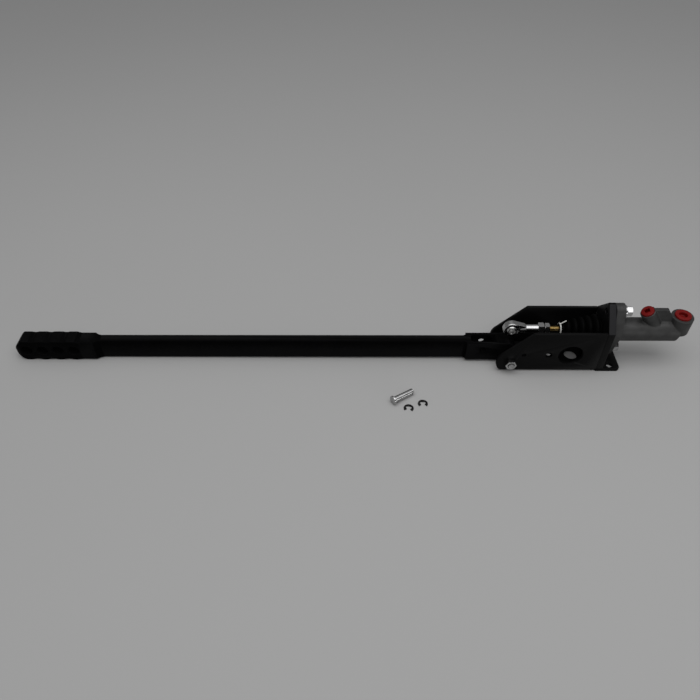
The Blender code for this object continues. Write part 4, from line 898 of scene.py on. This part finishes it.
class HANDBRAKE_OT_master_cylinder(bpy.types.Operator):
    """Cast master cylinder: one skin with fillets, then machined faces and holes"""
    bl_idname = "handbrake.master_cylinder"
    bl_label = "Master Cylinder"

    def execute(self, context):
        size = settings("cylinder")
        low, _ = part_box("master_cylinder_body")
        plate_low, plate_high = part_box("cylinder_plate")
        axis, centre = size.axis_height, (0, 0, size.axis_height)
        flange_from = plate_high.x + 0.3 * MM
        flange_to = flange_from + size.flange_thick
        chamfer = size.end_chamfer
        casting = lathe("body", [(flange_from + REACH, 0), (flange_from + REACH, size.body),
                                 (size.body_end - chamfer, size.body), (size.body_end, size.body - chamfer),
                                 (size.body_end, 0)], 72, centre)
        slope = math.degrees(math.asin((size.flange_hub - size.flange_ear) / size.bolt_span))
        outline = arc((0, axis), size.flange_hub, -slope, slope, 8)
        outline += arc((0, axis + size.bolt_span), size.flange_ear, slope, 180 - slope, 20)
        outline += arc((0, axis), size.flange_hub, 180 - slope, 180 + slope, 8)
        outline += arc((0, axis - size.bolt_span), size.flange_ear, 180 + slope, 360 - slope, 20)
        flange = slab("flange", outline, "X", flange_from, flange_to)
        crown = size.inlet * 0.35
        inlet = lathe("inlet", [(size.inlet_bottom, 0), (size.inlet_bottom, size.inlet - crown),
                                (size.inlet_bottom + crown, size.inlet), (size.inlet_top, size.inlet),
                                (size.inlet_top, 0)], 72, (size.inlet_x, 0, 0), (0, 0, 1))
        rim, way = outlet_axis()
        back = (size.outlet_z - axis) / way.z
        outlet = rod("outlet", rim - way * back, rim, size.outlet)
        rib_low = axis + size.body / 2
        rib = [(size.outlet_x + (size.outlet_z - rib_low) * math.tan(size.outlet_lean), rib_low)]
        rib += [(size.outlet_x + size.outlet / 2, size.outlet_z - size.outlet / 2)]
        rib += [(size.rib_from, size.rib_top), (size.rib_to, size.rib_top)]
        rib += [(size.inlet_x - size.inlet * 0.8, size.inlet_top - 3.2 * MM)]
        rib += [(size.inlet_x - size.inlet * 0.8, rib_low)]
        web = slab("web", rib, "Y", -size.rib_thick / 2, size.rib_thick / 2)
        boolean(casting, [flange, inlet, outlet, web], "UNION")
        forge(casting, 0.55 * MM, 5)
        trims = [slab("trim", [(-0.1, 0.0), (0.1, 0.0), (0.1, 0.2), (-0.1, 0.2)], "X",
                      flange_from - 10 * MM, flange_from + 0.15 * MM)]
        boolean(casting, trims)
        groove = 1.2 * MM
        lip_from, lip_to = plate_low.x - 4.6 * MM, plate_low.x
        edge = 0.8 * MM
        spigot = lathe("spigot", [(low.x, 0), (low.x, size.spigot - edge), (low.x + edge, size.spigot),
                                  (lip_from, size.spigot), (lip_from, size.spigot - groove),
                                  (lip_to, size.spigot - groove), (lip_to, size.spigot),
                                  (flange_from + REACH, size.spigot), (flange_from + REACH, 0)], 72, centre)
        boolean(casting, [spigot], "UNION")
        bore = rod("bore", (low.x - REACH, 0, axis), (size.bore_end, 0, axis), size.bore, 64)
        well = rod("well", (size.inlet_x, 0, size.inlet_top - size.inlet_deep),
                   (size.inlet_x, 0, size.inlet_top + REACH), size.inlet_hole, 64)
        outlet_well = rod("well", rim - way * size.outlet_deep, rim + way * REACH, size.outlet_hole)
        holes = [bore, well, outlet_well]
        holes.append(rod("spotface", rim - way * size.spotface_deep, rim + way * REACH, size.spotface, 64))
        for side in (-1, 1):
            z = axis + side * size.bolt_span
            holes.append(rod("hole", (flange_from - REACH, 0, z), (flange_to + REACH, 0, z), m8_hole()))
        boolean(casting, holes)
        keep(casting, "master_cylinder", "frame", "cast_grey", ["master_cylinder_body"], 40)
        return {"FINISHED"}


class HANDBRAKE_OT_port_plugs(bpy.types.Operator):
    """Red transport plugs with recessed tops"""
    bl_idname = "handbrake.port_plugs"
    bl_label = "Port Plugs"

    def execute(self, context):
        size, gap = settings("cylinder"), settings("hardware").gap
        low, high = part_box("inlet_plug")
        wide, edge, wall, deep = size.inlet_hole - gap, 0.5 * MM, size.plug_wall, size.plug_deep
        profile = [(low.z, 0), (low.z, wide)]
        profile += [(high.z - edge + a, wide - edge + b) for b, a in arc((0, 0), edge, 0, 90, 4)]
        hollow = wide - wall
        profile += [(high.z, hollow + edge), (high.z - edge, hollow), (high.z - deep, hollow - edge)]
        profile += [(high.z - deep - edge, hollow - 2 * edge), (high.z - deep - edge, 0)]
        plug = lathe("plug", profile, 72, (size.inlet_x, 0, 0), (0, 0, 1))
        keep(plug, "inlet_cap", "frame", "red_plastic", ["inlet_plug"])
        rim, way = outlet_axis()
        under = gap - size.spotface_deep
        head, wide, stem = under + size.plug_head, size.spotface - gap, size.outlet_hole - gap
        profile = [(under - size.plug_stem, 0), (under - size.plug_stem, stem), (under, stem), (under, wide)]
        profile += [(head - edge + a, wide - edge + b) for b, a in arc((0, 0), edge, 0, 90, 4)]
        profile += [(head, 0)]
        plug = lathe("plug", profile, 64)
        half = size.plug_square / 2
        pocket = slab("pocket", [(-half, -half), (half, -half), (half, half), (-half, half)], "X",
                      head - size.square_deep, head + REACH)
        boolean(plug, [pocket])
        lay_along(plug, rim, way)
        keep(plug, "outlet_cap", "frame", "red_plastic", ["outlet_plug"])
        return {"FINISHED"}


def hex_block(name, flats, start, thick):
    """Hexagon along X with the corners turned off at both ends."""
    corner = flats / math.sqrt(3)
    block = slab(name, hexagon(flats), "X", start - REACH, start + thick + REACH)
    face, over = flats / 2 * 0.97, corner + SMALLEST
    slope = (corner - flats / 2) * 0.6
    turning = [(start, 0), (start, face), (start + slope, over), (start + thick - slope, over)]
    turning += [(start + thick, face), (start + thick, 0)]
    boolean(block, [lathe("turning", turning, HEX_FACETS)], "INTERSECT")
    return block


def lay_along(piece, start, way):
    """Turn a piece made along X to point another way from a start."""
    turn = Vector((1, 0, 0)).rotation_difference(Vector(way).normalized()).to_matrix().to_4x4()
    seat(piece, Matrix.Translation(start) @ turn)


def make_bolt(head_at, tip_at, head_thick, threaded, flats):
    """Hex bolt: chamfered head behind head_at, shank and thread towards tip_at."""
    size = settings("hardware")
    start, end = Vector(head_at), Vector(tip_at)
    run = (end - start).length
    core = size.m8 - 0.55 * MM
    head = hex_block("head", flats, -head_thick, head_thick)
    edge = 0.7 * MM
    plain = run - threaded
    shank = lathe("shank", [(-head_thick / 2, 0), (-head_thick / 2, size.m8), (plain, size.m8),
                            (plain + 0.4 * MM, core), (run - edge, core), (run, core - edge), (run, 0)], 48)
    boolean(head, [shank], "UNION")
    coil = thread("coil", plain, threaded - 1.2 * MM, size.m8, size.m8_pitch, 0)
    bolt = join_pieces("bolt", [head, coil])
    lay_along(bolt, start, end - start)
    return bolt


def make_nut(seat_at, way, thick, flats):
    """Hex nut with both faces turned and a countersunk hole."""
    hole = m8_hole()
    nut = hex_block("nut", flats, 0, thick)
    cut = [(-MM, 0), (-MM, hole + 1.5 * MM), (0.5 * MM, hole), (thick - 0.5 * MM, hole),
           (thick + MM, hole + 1.5 * MM), (thick + MM, 0)]
    boolean(nut, [lathe("hole", cut, 48)])
    lay_along(nut, Vector(seat_at), way)
    return nut


class HANDBRAKE_OT_flange_fasteners(bpy.types.Operator):
    """Two flange bolts with washers, threaded into the end plate"""
    bl_idname = "handbrake.flange_fasteners"
    bl_label = "Flange Fasteners"

    def execute(self, context):
        size, cylinder = settings("hardware"), settings("cylinder")
        for side, place in ((-1, "lower"), (1, "upper")):
            z = cylinder.axis_height + side * cylinder.bolt_span
            low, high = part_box("flange_washer_" + place)
            ring = ring_profile(low.x, high.x, m8_hole(), size.washer, 0.25 * MM)
            washer = lathe("washer", ring, 64, (0, 0, z))
            keep(washer, "washer_" + place, "frame", "zinc_plated_steel", ["flange_washer_" + place])
            low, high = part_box("flange_bolt_" + place)
            bolt = make_bolt((high.x - size.flange_head, 0, z), (low.x, 0, z), size.flange_head,
                             size.flange_thread, size.flange_flats)
            keep(bolt, "bolt_" + place, "frame", "zinc_plated_steel", ["flange_bolt_" + place], 30)
        return {"FINISHED"}


class HANDBRAKE_OT_pivot(bpy.types.Operator):
    """Pivot bolt, its nut and the side spacers"""
    bl_idname = "handbrake.pivot"
    bl_label = "Pivot Hardware"

    def execute(self, context):
        size, bracket = settings("hardware"), settings("bracket")
        z = bracket.pivot_height
        low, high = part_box("pivot_bolt")
        bolt = make_bolt((0, high.y - size.pivot_head, z), (0, low.y, z), size.pivot_head, size.pivot_thread,
                         size.m8_flats)
        keep(bolt, "pivot_screw", "frame", "zinc_plated_steel", ["pivot_bolt"], 30)
        low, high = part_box("pivot_nut")
        nut = make_nut((0, high.y, z), (0, -1, 0), high.y - low.y, size.m8_flats)
        keep(nut, "pivot_lock_nut", "frame", "zinc_plated_steel", ["pivot_nut"], 30)
        for place in ("near", "far"):
            low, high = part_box("side_spacer_" + place)
            ring = ring_profile(low.y, high.y, m8_hole(), size.spacer, 0.4 * MM)
            spacer = lathe("spacer", ring, 64, (0, 0, z), (0, 1, 0))
            keep(spacer, "spacer_" + place, "frame", "black_coated_steel", ["side_spacer_" + place])
        return {"FINISHED"}


def lever_plan():
    """Lever seen from above: bullet nose, grip, fillets, slim bar, fork block."""
    size = settings("lever")
    grip, bar, fork = size.grip_thick / 2, size.bar_thick / 2, size.fork_thick / 2
    side = []
    for step in range(21):
        turn = math.radians(90 * step / 20)
        side.append((-size.grip_reach + size.grip_nose * (1 - math.cos(turn)), grip * math.sin(turn) ** 0.7))
    side[0] = (-size.grip_reach, 0.0)
    sweep = math.acos(1 - (grip - bar) / size.grip_fillet)
    root = -size.grip_root + size.grip_fillet * math.sin(sweep)
    side += arc((root, bar + size.grip_fillet), size.grip_fillet, 270 - math.degrees(sweep), 270, 20)
    side += arc((-size.fork_start - size.fork_fillet, bar + size.fork_fillet), size.fork_fillet, 270, 360, 10)
    side += [(-size.fork_start, fork), (size.below + REACH, fork)]
    return side + [(x, -y) for x, y in reversed(side[1:])]


def grip_edge(level, proud, side):
    """Finger waves from the first crest to where the grip falls back to the bar's level."""
    size = settings("lever")
    per_wave, last = 20, 60
    points = []
    for step in range(last + per_wave // 2 + 1):
        fall = size.wave_depth if step < last else proud
        height = proud - fall * (1 - math.cos(FULL_TURN * step / per_wave)) / 2
        points.append((-size.first_wave + size.wave_pitch * step / per_wave, level + side * height))
    return points


def lever_side():
    """Lever from the side: blunt nose, finger waves, straight bar, round end."""
    size = settings("lever")
    upper = grip_edge(size.above, size.crest_above, 1)
    lower = grip_edge(-size.below, size.crest_below, -1)
    run, steps = size.grip_reach - size.first_wave, 24
    nose_top, nose_low = [], []
    for step in range(1, steps):
        share = step / steps
        along = -size.grip_reach + run * share
        for nose, crest, full in ((nose_top, upper[0][1], 0.85), (nose_low, lower[0][1], 0.72)):
            rise = math.sin(share * math.pi / 2) ** full
            nose.append((along, size.nose_height + (crest - size.nose_height) * rise))
    outline = upper[::-1] + nose_top[::-1] + [(-size.grip_reach, size.nose_height)] + nose_low + lower
    outline += arc((0, 0), size.below, -90, 45, 30)
    end_x, end_z = outline[-1]
    return outline + [(end_x - (size.above - end_z), size.above)]


def window_plan():
    """Outline of the window, with round corners."""
    size = settings("lever")
    half, corner = size.window_width / 2, size.window_corner
    outline = arc((-size.window_near - corner, half - corner), corner, 0, 90, 8)
    outline += arc((-size.window_far + corner, half - corner), corner, 90, 180, 8)
    outline += arc((-size.window_far + corner, corner - half), corner, 180, 270, 8)
    return outline + arc((-size.window_near - corner, corner - half), corner, 270, 360, 8)


def countersunk(half, radius, lip):
    """Profile of a through hole with a countersink on both faces."""
    wide = radius + lip + REACH
    return [(-half - REACH, 0), (-half - REACH, wide), (lip - half, radius),
            (half - lip, radius), (half + REACH, wide), (half + REACH, 0)]


class HANDBRAKE_OT_lever(bpy.types.Operator):
    """Milled lever: plan and side outlines crossed, then window, holes and edges"""
    bl_idname = "handbrake.lever"
    bl_label = "Lever"

    def execute(self, context):
        size, hardware = settings("lever"), settings("hardware")
        lever = slab("lever", lever_plan(), "Z", -size.below - REACH, size.above + REACH)
        boolean(lever, [slab("side", lever_side(), "Y", -size.grip_thick, size.grip_thick)], "INTERSECT")
        half, middle = size.fork_thick / 2, (size.above - size.below) / 2
        window = slab("window", window_plan(), "Z", -size.below - REACH, size.above + REACH)
        axis = settings("cylinder").axis_height - settings("bracket").pivot_height
        radius = axis - hardware.eye - hardware.gap
        far = -size.window_near - size.window_corner
        first = 180 - math.degrees(math.asin((size.above + REACH) / radius))
        last = 180 - math.degrees(math.acos(min(1.0, -far / radius)))
        ramp = arc((0, 0), radius, first, last, 16)
        ramp += [(far - REACH, ramp[-1][1]), (far - REACH, size.above + REACH)]
        relief = slab("relief", ramp, "Y", -size.window_width / 2, size.window_width / 2)
        boolean(lever, [window, relief])
        soften(lever, size.edge, 3, 50)
        cuts = [rod("hole", (0, -half - REACH, 0), (0, half + REACH, 0), 6.2 * MM)]
        lip = 0.5 * MM
        profile = countersunk(half, size.pin_hole, lip)
        cuts.append(lathe("hole", profile, 48, (-size.pin_x, 0, size.pin_z), (0, 1, 0)))
        grip = size.grip_thick / 2
        for wave in range(4):
            x = -size.first_wave + wave * size.wave_pitch
            profile = countersunk(grip, size.grip_hole, size.hole_lip)
            cuts.append(lathe("hole", profile, 64, (x, 0, middle), (0, 1, 0)))
        boolean(lever, cuts)
        touch = 0.05 * MM
        lowest = size.below + size.crest_below
        down = math.asin((settings("bracket").pivot_height - touch) / math.hypot(size.first_wave, lowest))
        down -= math.atan2(lowest, size.first_wave)
        pivot = Matrix.Translation((0, 0, settings("bracket").pivot_height)) @ Matrix.Rotation(-down, 4, "Y")
        seat(lever, pivot)
        keep(lever, "lever", "lever", "black_anodised_aluminium", ["lever_arm"], 30)
        return {"FINISHED"}


class HANDBRAKE_OT_pushrod(bpy.types.Operator):
    """Threaded pushrod, jam nut, rod end and swivel ball"""
    bl_idname = "handbrake.pushrod"
    bl_label = "Pushrod and Rod End"

    def execute(self, context):
        size = settings("hardware")
        axis = settings("cylinder").axis_height
        centre = (0, 0, axis)
        low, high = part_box("pushrod")
        core, edge = size.m8 - 0.6 * MM, 0.6 * MM
        ball = size.tip_ball
        middle = high.x - ball
        meet = math.degrees(math.asin(core / ball))
        profile = [(low.x, 0), (low.x, core - edge), (low.x + edge, core)]
        profile += [(middle + a, r) for a, r in arc((0, 0), ball, 180 - meet, 0, 24)]
        profile[-1] = (high.x, 0)
        bar = lathe("bar", profile, 48, centre)
        coil = thread("coil", low.x + MM, size.rod_thread, size.m8, size.m8_pitch, axis)
        made = join_pieces("pushrod", [bar, coil])
        keep(made, "push_rod", "plunger", "yellow_zinc_steel", ["pushrod"], 30)

        low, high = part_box("jam_nut")
        nut = make_nut((low.x, 0, axis), (1, 0, 0), high.x - low.x, size.m8_flats)
        keep(nut, "lock_nut", "plunger", "zinc_plated_steel", ["jam_nut"], 30)

        low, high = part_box("rod_end_housing")
        half, neck = size.eye_thick / 2, size.eye * 0.94
        edge = 0.8 * MM
        disc = ring_profile(-half, half, 0, size.eye, edge)
        eye = lathe("eye", disc, 96, centre, (0, 1, 0))
        taper = size.eye + size.shank * 1.1
        root = size.eye * 0.35
        outline = [(root, neck), (taper, size.shank), (taper, -size.shank), (root, -neck)]
        web = slab("neck", [(x, axis + z) for x, z in outline], "Y", edge - half, half - edge)
        root = size.eye * 0.85
        bar = [(root, 0), (root, half), (taper, size.shank), (high.x - edge, size.shank)]
        bar += [(high.x, size.shank - edge), (high.x, 0)]
        shank = lathe("shank", bar, 64, centre)
        boolean(eye, [web, shank], "UNION")
        forge(eye, 0.3 * MM, 8)
        flats = hex_block("flats", size.shank_flats, 34 * MM, high.x - 34.8 * MM)
        seat(flats, Matrix.Translation(centre))
        boolean(eye, [flats], "UNION")
        race = [(r, a) for r, a in arc((0, 0), size.ball + size.gap, 180, 0, 32)]
        race[0], race[-1] = (race[0][0], 0), (race[-1][0], 0)
        cuts = [lathe("race", race, 72, centre, (0, 1, 0))]
        cuts.append(rod("thread", (low.x + 30.7 * MM, 0, axis), (high.x + MM, 0, axis), m8_hole()))
        boolean(eye, cuts)
        keep(eye, "rod_end", "plunger", "zinc_plated_steel", ["rod_end_housing"], 35)

        wide, edge = size.ball_width / 2, 0.4 * MM
        rim = math.degrees(math.acos(wide / size.ball))
        profile = [(-wide + edge, size.ball_bore), (-wide, size.ball_bore + edge)]
        profile += arc((0, 0), size.ball, 180 - rim, rim, 28)
        profile += [(wide, size.ball_bore + edge), (wide - edge, size.ball_bore)]
        swivel = lathe("ball", profile, 72, centre, (0, 1, 0))
        keep(swivel, "swivel", "swivel_ball", "bare_steel", ["rod_end_ball"], 35)
        return {"FINISHED"}


class HANDBRAKE_OT_boot(bpy.types.Operator):
    """Bellows boot and the white tie round its nose"""
    bl_idname = "handbrake.boot"
    bl_label = "Boot and Tie"

    def execute(self, context):
        size, axis = settings("hardware"), settings("cylinder").axis_height
        centre = (0, 0, axis)
        low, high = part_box("dust_boot")
        wall, nose_run = size.boot_wall, 6.0 * MM
        nose = size.m8 + size.gap + 2 * wall
        start, lip = low.x + nose_run, high.x - 4.0 * MM
        spigot = settings("cylinder").spigot
        folds, depth = 5, size.fold_depth
        first, last = nose + MM + depth, spigot + MM + depth
        pitch = (lip - start) / folds
        outer = []
        for fold in range(folds):
            crest = first + (last - first) * fold / (folds - 1)
            for step in range(1, 17):
                share = step / 16
                swell = math.sin(math.pi * share) ** 0.75
                before = nose if fold == 0 else first + (last - first) * (fold - 1) / (folds - 1) - depth
                valley = before + (crest - depth - before) * share
                outer.append((start + pitch * (fold + share), valley + (crest - valley) * swell))
        lip_out = outer[-1][1]
        profile = [(low.x, nose - 0.4 * MM), (low.x + 0.4 * MM, nose), (start, nose)] + outer
        profile += [(high.x - 0.4 * MM, lip_out), (high.x, lip_out - 0.4 * MM), (high.x, spigot - 0.9 * MM)]
        profile += [(lip, spigot - 0.9 * MM), (lip, spigot + size.gap), (lip - wall, spigot + size.gap)]
        profile += [(x, r - wall) for x, r in reversed(outer[:-4])]
        profile += [(start, size.m8 + size.gap), (low.x, size.m8 + size.gap)]
        boot = lathe("boot", profile, 80, centre)
        keep(boot, "bellows", None, "black_rubber", ["dust_boot"], 50)
        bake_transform(boot)

        low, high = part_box("boot_tie")
        wide, thick = size.tie_wide, size.tie_thick
        inner = nose + size.gap
        ring_from = low.x + 7.4 * MM
        ring = ring_profile(ring_from, ring_from + wide, inner, inner + thick, 0.2 * MM)
        tie = lathe("tie", ring, 64, centre)
        top = axis + inner + thick / 2
        head = [(-0.8 * wide, top), (0.8 * wide, top), (0.8 * wide, top + wide), (-0.8 * wide, top + wide)]
        lock = slab("lock", head, "X", ring_from - thick, ring_from + wide)
        soften(lock, 0.3 * MM, 3)
        foot, rise = ring_from + wide / 2, 6.5 * MM
        bend = 0.45 * rise
        tail = [(foot - thick, top + wide / 2), (foot, top + wide / 2), (foot + bend, top + bend)]
        tail += [(foot + rise, top + rise), (foot + rise - thick, top + rise)]
        tail += [(foot + bend - thick, top + bend + thick)]
        strip = slab("tail", tail, "Y", -wide * 0.4, wide * 0.4)
        soften(strip, 0.12 * MM, 2)
        tie = join_pieces("tie", [tie, lock, strip])
        keep(tie, "nose_tie", "plunger", "white_nylon", ["boot_tie"], 35)
        return {"FINISHED"}


class HANDBRAKE_OT_return_spring(bpy.types.Operator):
    """Return spring inside the cylinder, squeezed as the piston moves in"""
    bl_idname = "handbrake.return_spring"
    bl_label = "Return Spring"

    def execute(self, context):
        size, axis = settings("hardware"), settings("cylinder").axis_height
        low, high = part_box("return_spring")
        wire = size.spring_wire / 2
        run = high.x - low.x - size.spring_wire
        circle = arc((low.x + wire, size.spring), wire, 0, 330, 11)
        spring = wound("spring", circle, run / 8, 8, axis)
        keep(spring, "coil_spring", None, "bare_steel", ["return_spring"], 50)
        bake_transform(spring)
        return {"FINISHED"}


class HANDBRAKE_OT_loose_pieces(bpy.types.Operator):
    """Clevis pin and two E-clips that lie on the table"""
    bl_idname = "handbrake.loose_pieces"
    bl_label = "Loose Pin and Clips"

    def execute(self, context):
        size, loose = settings("hardware"), settings("loose")
        head, shank = size.pin_cap, size.pin_length
        run = head + shank
        pitch = math.asin((size.pin_head - size.pin) / shank)
        groove, slot, deep, edge = run - 4.0 * MM, 1.0 * MM, 0.9 * MM, 0.5 * MM
        wide = size.pin_head
        profile = [(0, 0), (0, wide - edge), (edge * 0.3, wide - edge * 0.3), (edge, wide)]
        profile += [(head - edge / 2, wide), (head, wide - edge / 2), (head, size.pin)]
        profile += [(groove, size.pin), (groove, size.pin - deep), (groove + slot, size.pin - deep)]
        tip = 0.9 * MM
        profile += [(groove + slot, size.pin), (run - tip, size.pin), (run, size.pin - tip), (run, 0)]
        pin = lathe("pin", profile, 64)
        lift = size.pin_head * math.cos(pitch) + head * math.sin(pitch) + 0.05 * MM
        spot_on_table = Matrix.Translation((loose.pin_x, loose.pin_y, lift))
        seat(pin, spot_on_table @ Matrix.Rotation(loose.pin_heading, 4, "Z") @ Matrix.Rotation(pitch, 4, "Y"))
        keep(pin, "loose_pin", "frame", "zinc_plated_steel", ["clevis_pin"], 30)
        opening = loose.clip_mouth
        for number, (x, y, heading) in enumerate(((loose.clip_1_x, loose.clip_1_y, loose.clip_1_heading),
                                                  (loose.clip_2_x, loose.clip_2_y, loose.clip_2_heading)), 1):
            outer, inner = [], []
            for step in range(73):
                turn = opening + (FULL_TURN - 2 * opening) * step / 72
                lobe = (1 + math.cos(3 * turn + math.pi)) / 2
                hollow = size.pin * (0.98 - 0.3 * lobe)
                outer.append((size.clip * math.cos(turn), size.clip * math.sin(turn)))
                inner.append((hollow * math.cos(turn), hollow * math.sin(turn)))
            clip = slab("clip", outer + inner[::-1], "Z", 0.05 * MM, 0.95 * MM)
            soften(clip, 0.12 * MM, 2, 60)
            seat(clip, Matrix.Translation((x, y, 0)) @ Matrix.Rotation(heading, 4, "Z"))
            keep(clip, f"loose_clip_{number}", "frame", "black_oxide_steel", [f"e_clip_{number}"], 35)
        return {"FINISHED"}


class HANDBRAKE_OT_inner_parts(bpy.types.Operator):
    """Finishes of the carried-over pieces inside the cylinder and the pivot"""
    bl_idname = "handbrake.inner_parts"
    bl_label = "Inner Parts"

    def execute(self, context):
        slots = {part["node"]: part["material_slot"] for part in frame["record"]["subparts"]}
        for name, node in frame["nodes"].items():
            if node.hide_render:
                continue
            node.data.materials.clear()
            node.data.materials.append(finish_for(slots[name]))
        return {"FINISHED"}


def area_lamp(name, place, aim, watts, width, depth):
    """Soft rectangular lamp aimed at a point."""
    deselect()
    bpy.ops.object.light_add(type="AREA", location=place)
    lamp = bpy.context.object
    lamp.name = name
    lamp.data.shape = "RECTANGLE"
    lamp.data.size = width
    lamp.data.size_y = depth
    lamp.data.energy = watts
    lamp.rotation_euler = (Vector(aim) - Vector(place)).to_track_quat("-Z", "Y").to_euler()


class HANDBRAKE_OT_stage(bpy.types.Operator):
    """Pale floor, soft lamps and the camera"""
    bl_idname = "handbrake.stage"
    bl_label = "Stage"

    def execute(self, context):
        size = settings("stage")
        deselect()
        bpy.ops.mesh.primitive_plane_add(size=8.0, location=(0, 0, 0))
        floor = bpy.context.object
        floor.name = "floor"
        floor.data.materials.append(floor_material())
        area_lamp("overhead", (-0.1, -0.35, 1.5), (-0.1, 0, 0), size.key, 2.4, 1.4)
        area_lamp("front", (0.9, -1.28, 0.2), (-0.05, 0, 0.04), size.front, 1.6, 0.16)
        world = bpy.data.worlds.new("surround")
        world.use_nodes = True
        context.scene.world = world
        tree = world.node_tree
        split = tree.nodes.new("ShaderNodeSeparateXYZ")
        tree.links.new(tree.nodes.new("ShaderNodeTexCoord").outputs["Generated"], split.inputs[0])
        tree.links.new(blend_colour(tree, spread(tree, split.outputs["Z"], 0.6, 0.98), (0.2, 0.2, 0.2),
                                    (0.75, 0.75, 0.76)), tree.nodes["Background"].inputs["Color"])
        tree.nodes["Background"].inputs["Strength"].default_value = size.world
        bpy.ops.object.camera_add(location=(size.camera_x, size.camera_y, size.camera_z))
        camera = bpy.context.object
        look = Matrix.Rotation(math.pi / 2 - size.camera_down, 3, "X")
        look @= Matrix.Rotation(size.camera_roll, 3, "Z")
        camera.rotation_euler = look.to_euler()
        camera.data.lens = size.focal
        camera.data.sensor_width = 36.0
        camera.data.shift_y = size.camera_shift
        camera.data.clip_start = 0.01
        context.scene.camera = camera
        context.scene.view_settings.view_transform = "Standard"
        return {"FINISHED"}


PIECES = (HANDBRAKE_OT_stage, HANDBRAKE_OT_bracket, HANDBRAKE_OT_cylinder_plate, HANDBRAKE_OT_master_cylinder,
          HANDBRAKE_OT_port_plugs, HANDBRAKE_OT_flange_fasteners, HANDBRAKE_OT_pivot, HANDBRAKE_OT_lever,
          HANDBRAKE_OT_pushrod, HANDBRAKE_OT_boot, HANDBRAKE_OT_return_spring, HANDBRAKE_OT_loose_pieces,
          HANDBRAKE_OT_inner_parts)


class HANDBRAKE_PT_panel(bpy.types.Panel):
    """Lists the pieces of the hand brake lever"""
    bl_idname = "HANDBRAKE_PT_panel"
    bl_label = "Hand Brake Lever"
    bl_space_type = "VIEW_3D"
    bl_region_type = "UI"
    bl_category = "Hand Brake"

    def draw(self, context):
        for piece in PIECES:
            self.layout.operator(piece.bl_idname)
        for label in GROUP_TYPES:
            box = self.layout.box()
            box.label(text=label.capitalize())
            group = settings(label)
            for name in group.bl_rna.properties.keys():
                if name not in ("rna_type", "name"):
                    box.prop(group, name)


GROUP_TYPES = {"lever": LeverSizes, "bracket": BracketSizes, "cylinder": CylinderSizes,
               "hardware": HardwareSizes, "loose": LooseSettings, "finishes": Finishes,
               "stage": StageSettings}
CLASSES = (*GROUP_TYPES.values(), *PIECES, HANDBRAKE_PT_panel)


def register():
    for item in CLASSES:
        bpy.utils.register_class(item)
    for label, kind in GROUP_TYPES.items():
        setattr(bpy.types.Scene, "handbrake_" + label, bpy.props.PointerProperty(type=kind))


def unregister():
    for label in GROUP_TYPES:
        delattr(bpy.types.Scene, "handbrake_" + label)
    for item in reversed(CLASSES):
        bpy.utils.unregister_class(item)


def main():
    register()
    bpy.ops.handbrake.stage()
    bpy.ops.handbrake.bracket()
    bpy.ops.handbrake.cylinder_plate()
    bpy.ops.handbrake.master_cylinder()
    bpy.ops.handbrake.port_plugs()
    bpy.ops.handbrake.flange_fasteners()
    bpy.ops.handbrake.pivot()
    bpy.ops.handbrake.lever()
    bpy.ops.handbrake.pushrod()
    bpy.ops.handbrake.boot()
    bpy.ops.handbrake.return_spring()
    bpy.ops.handbrake.loose_pieces()
    bpy.ops.handbrake.inner_parts()


if __name__ == "__main__":
    main()
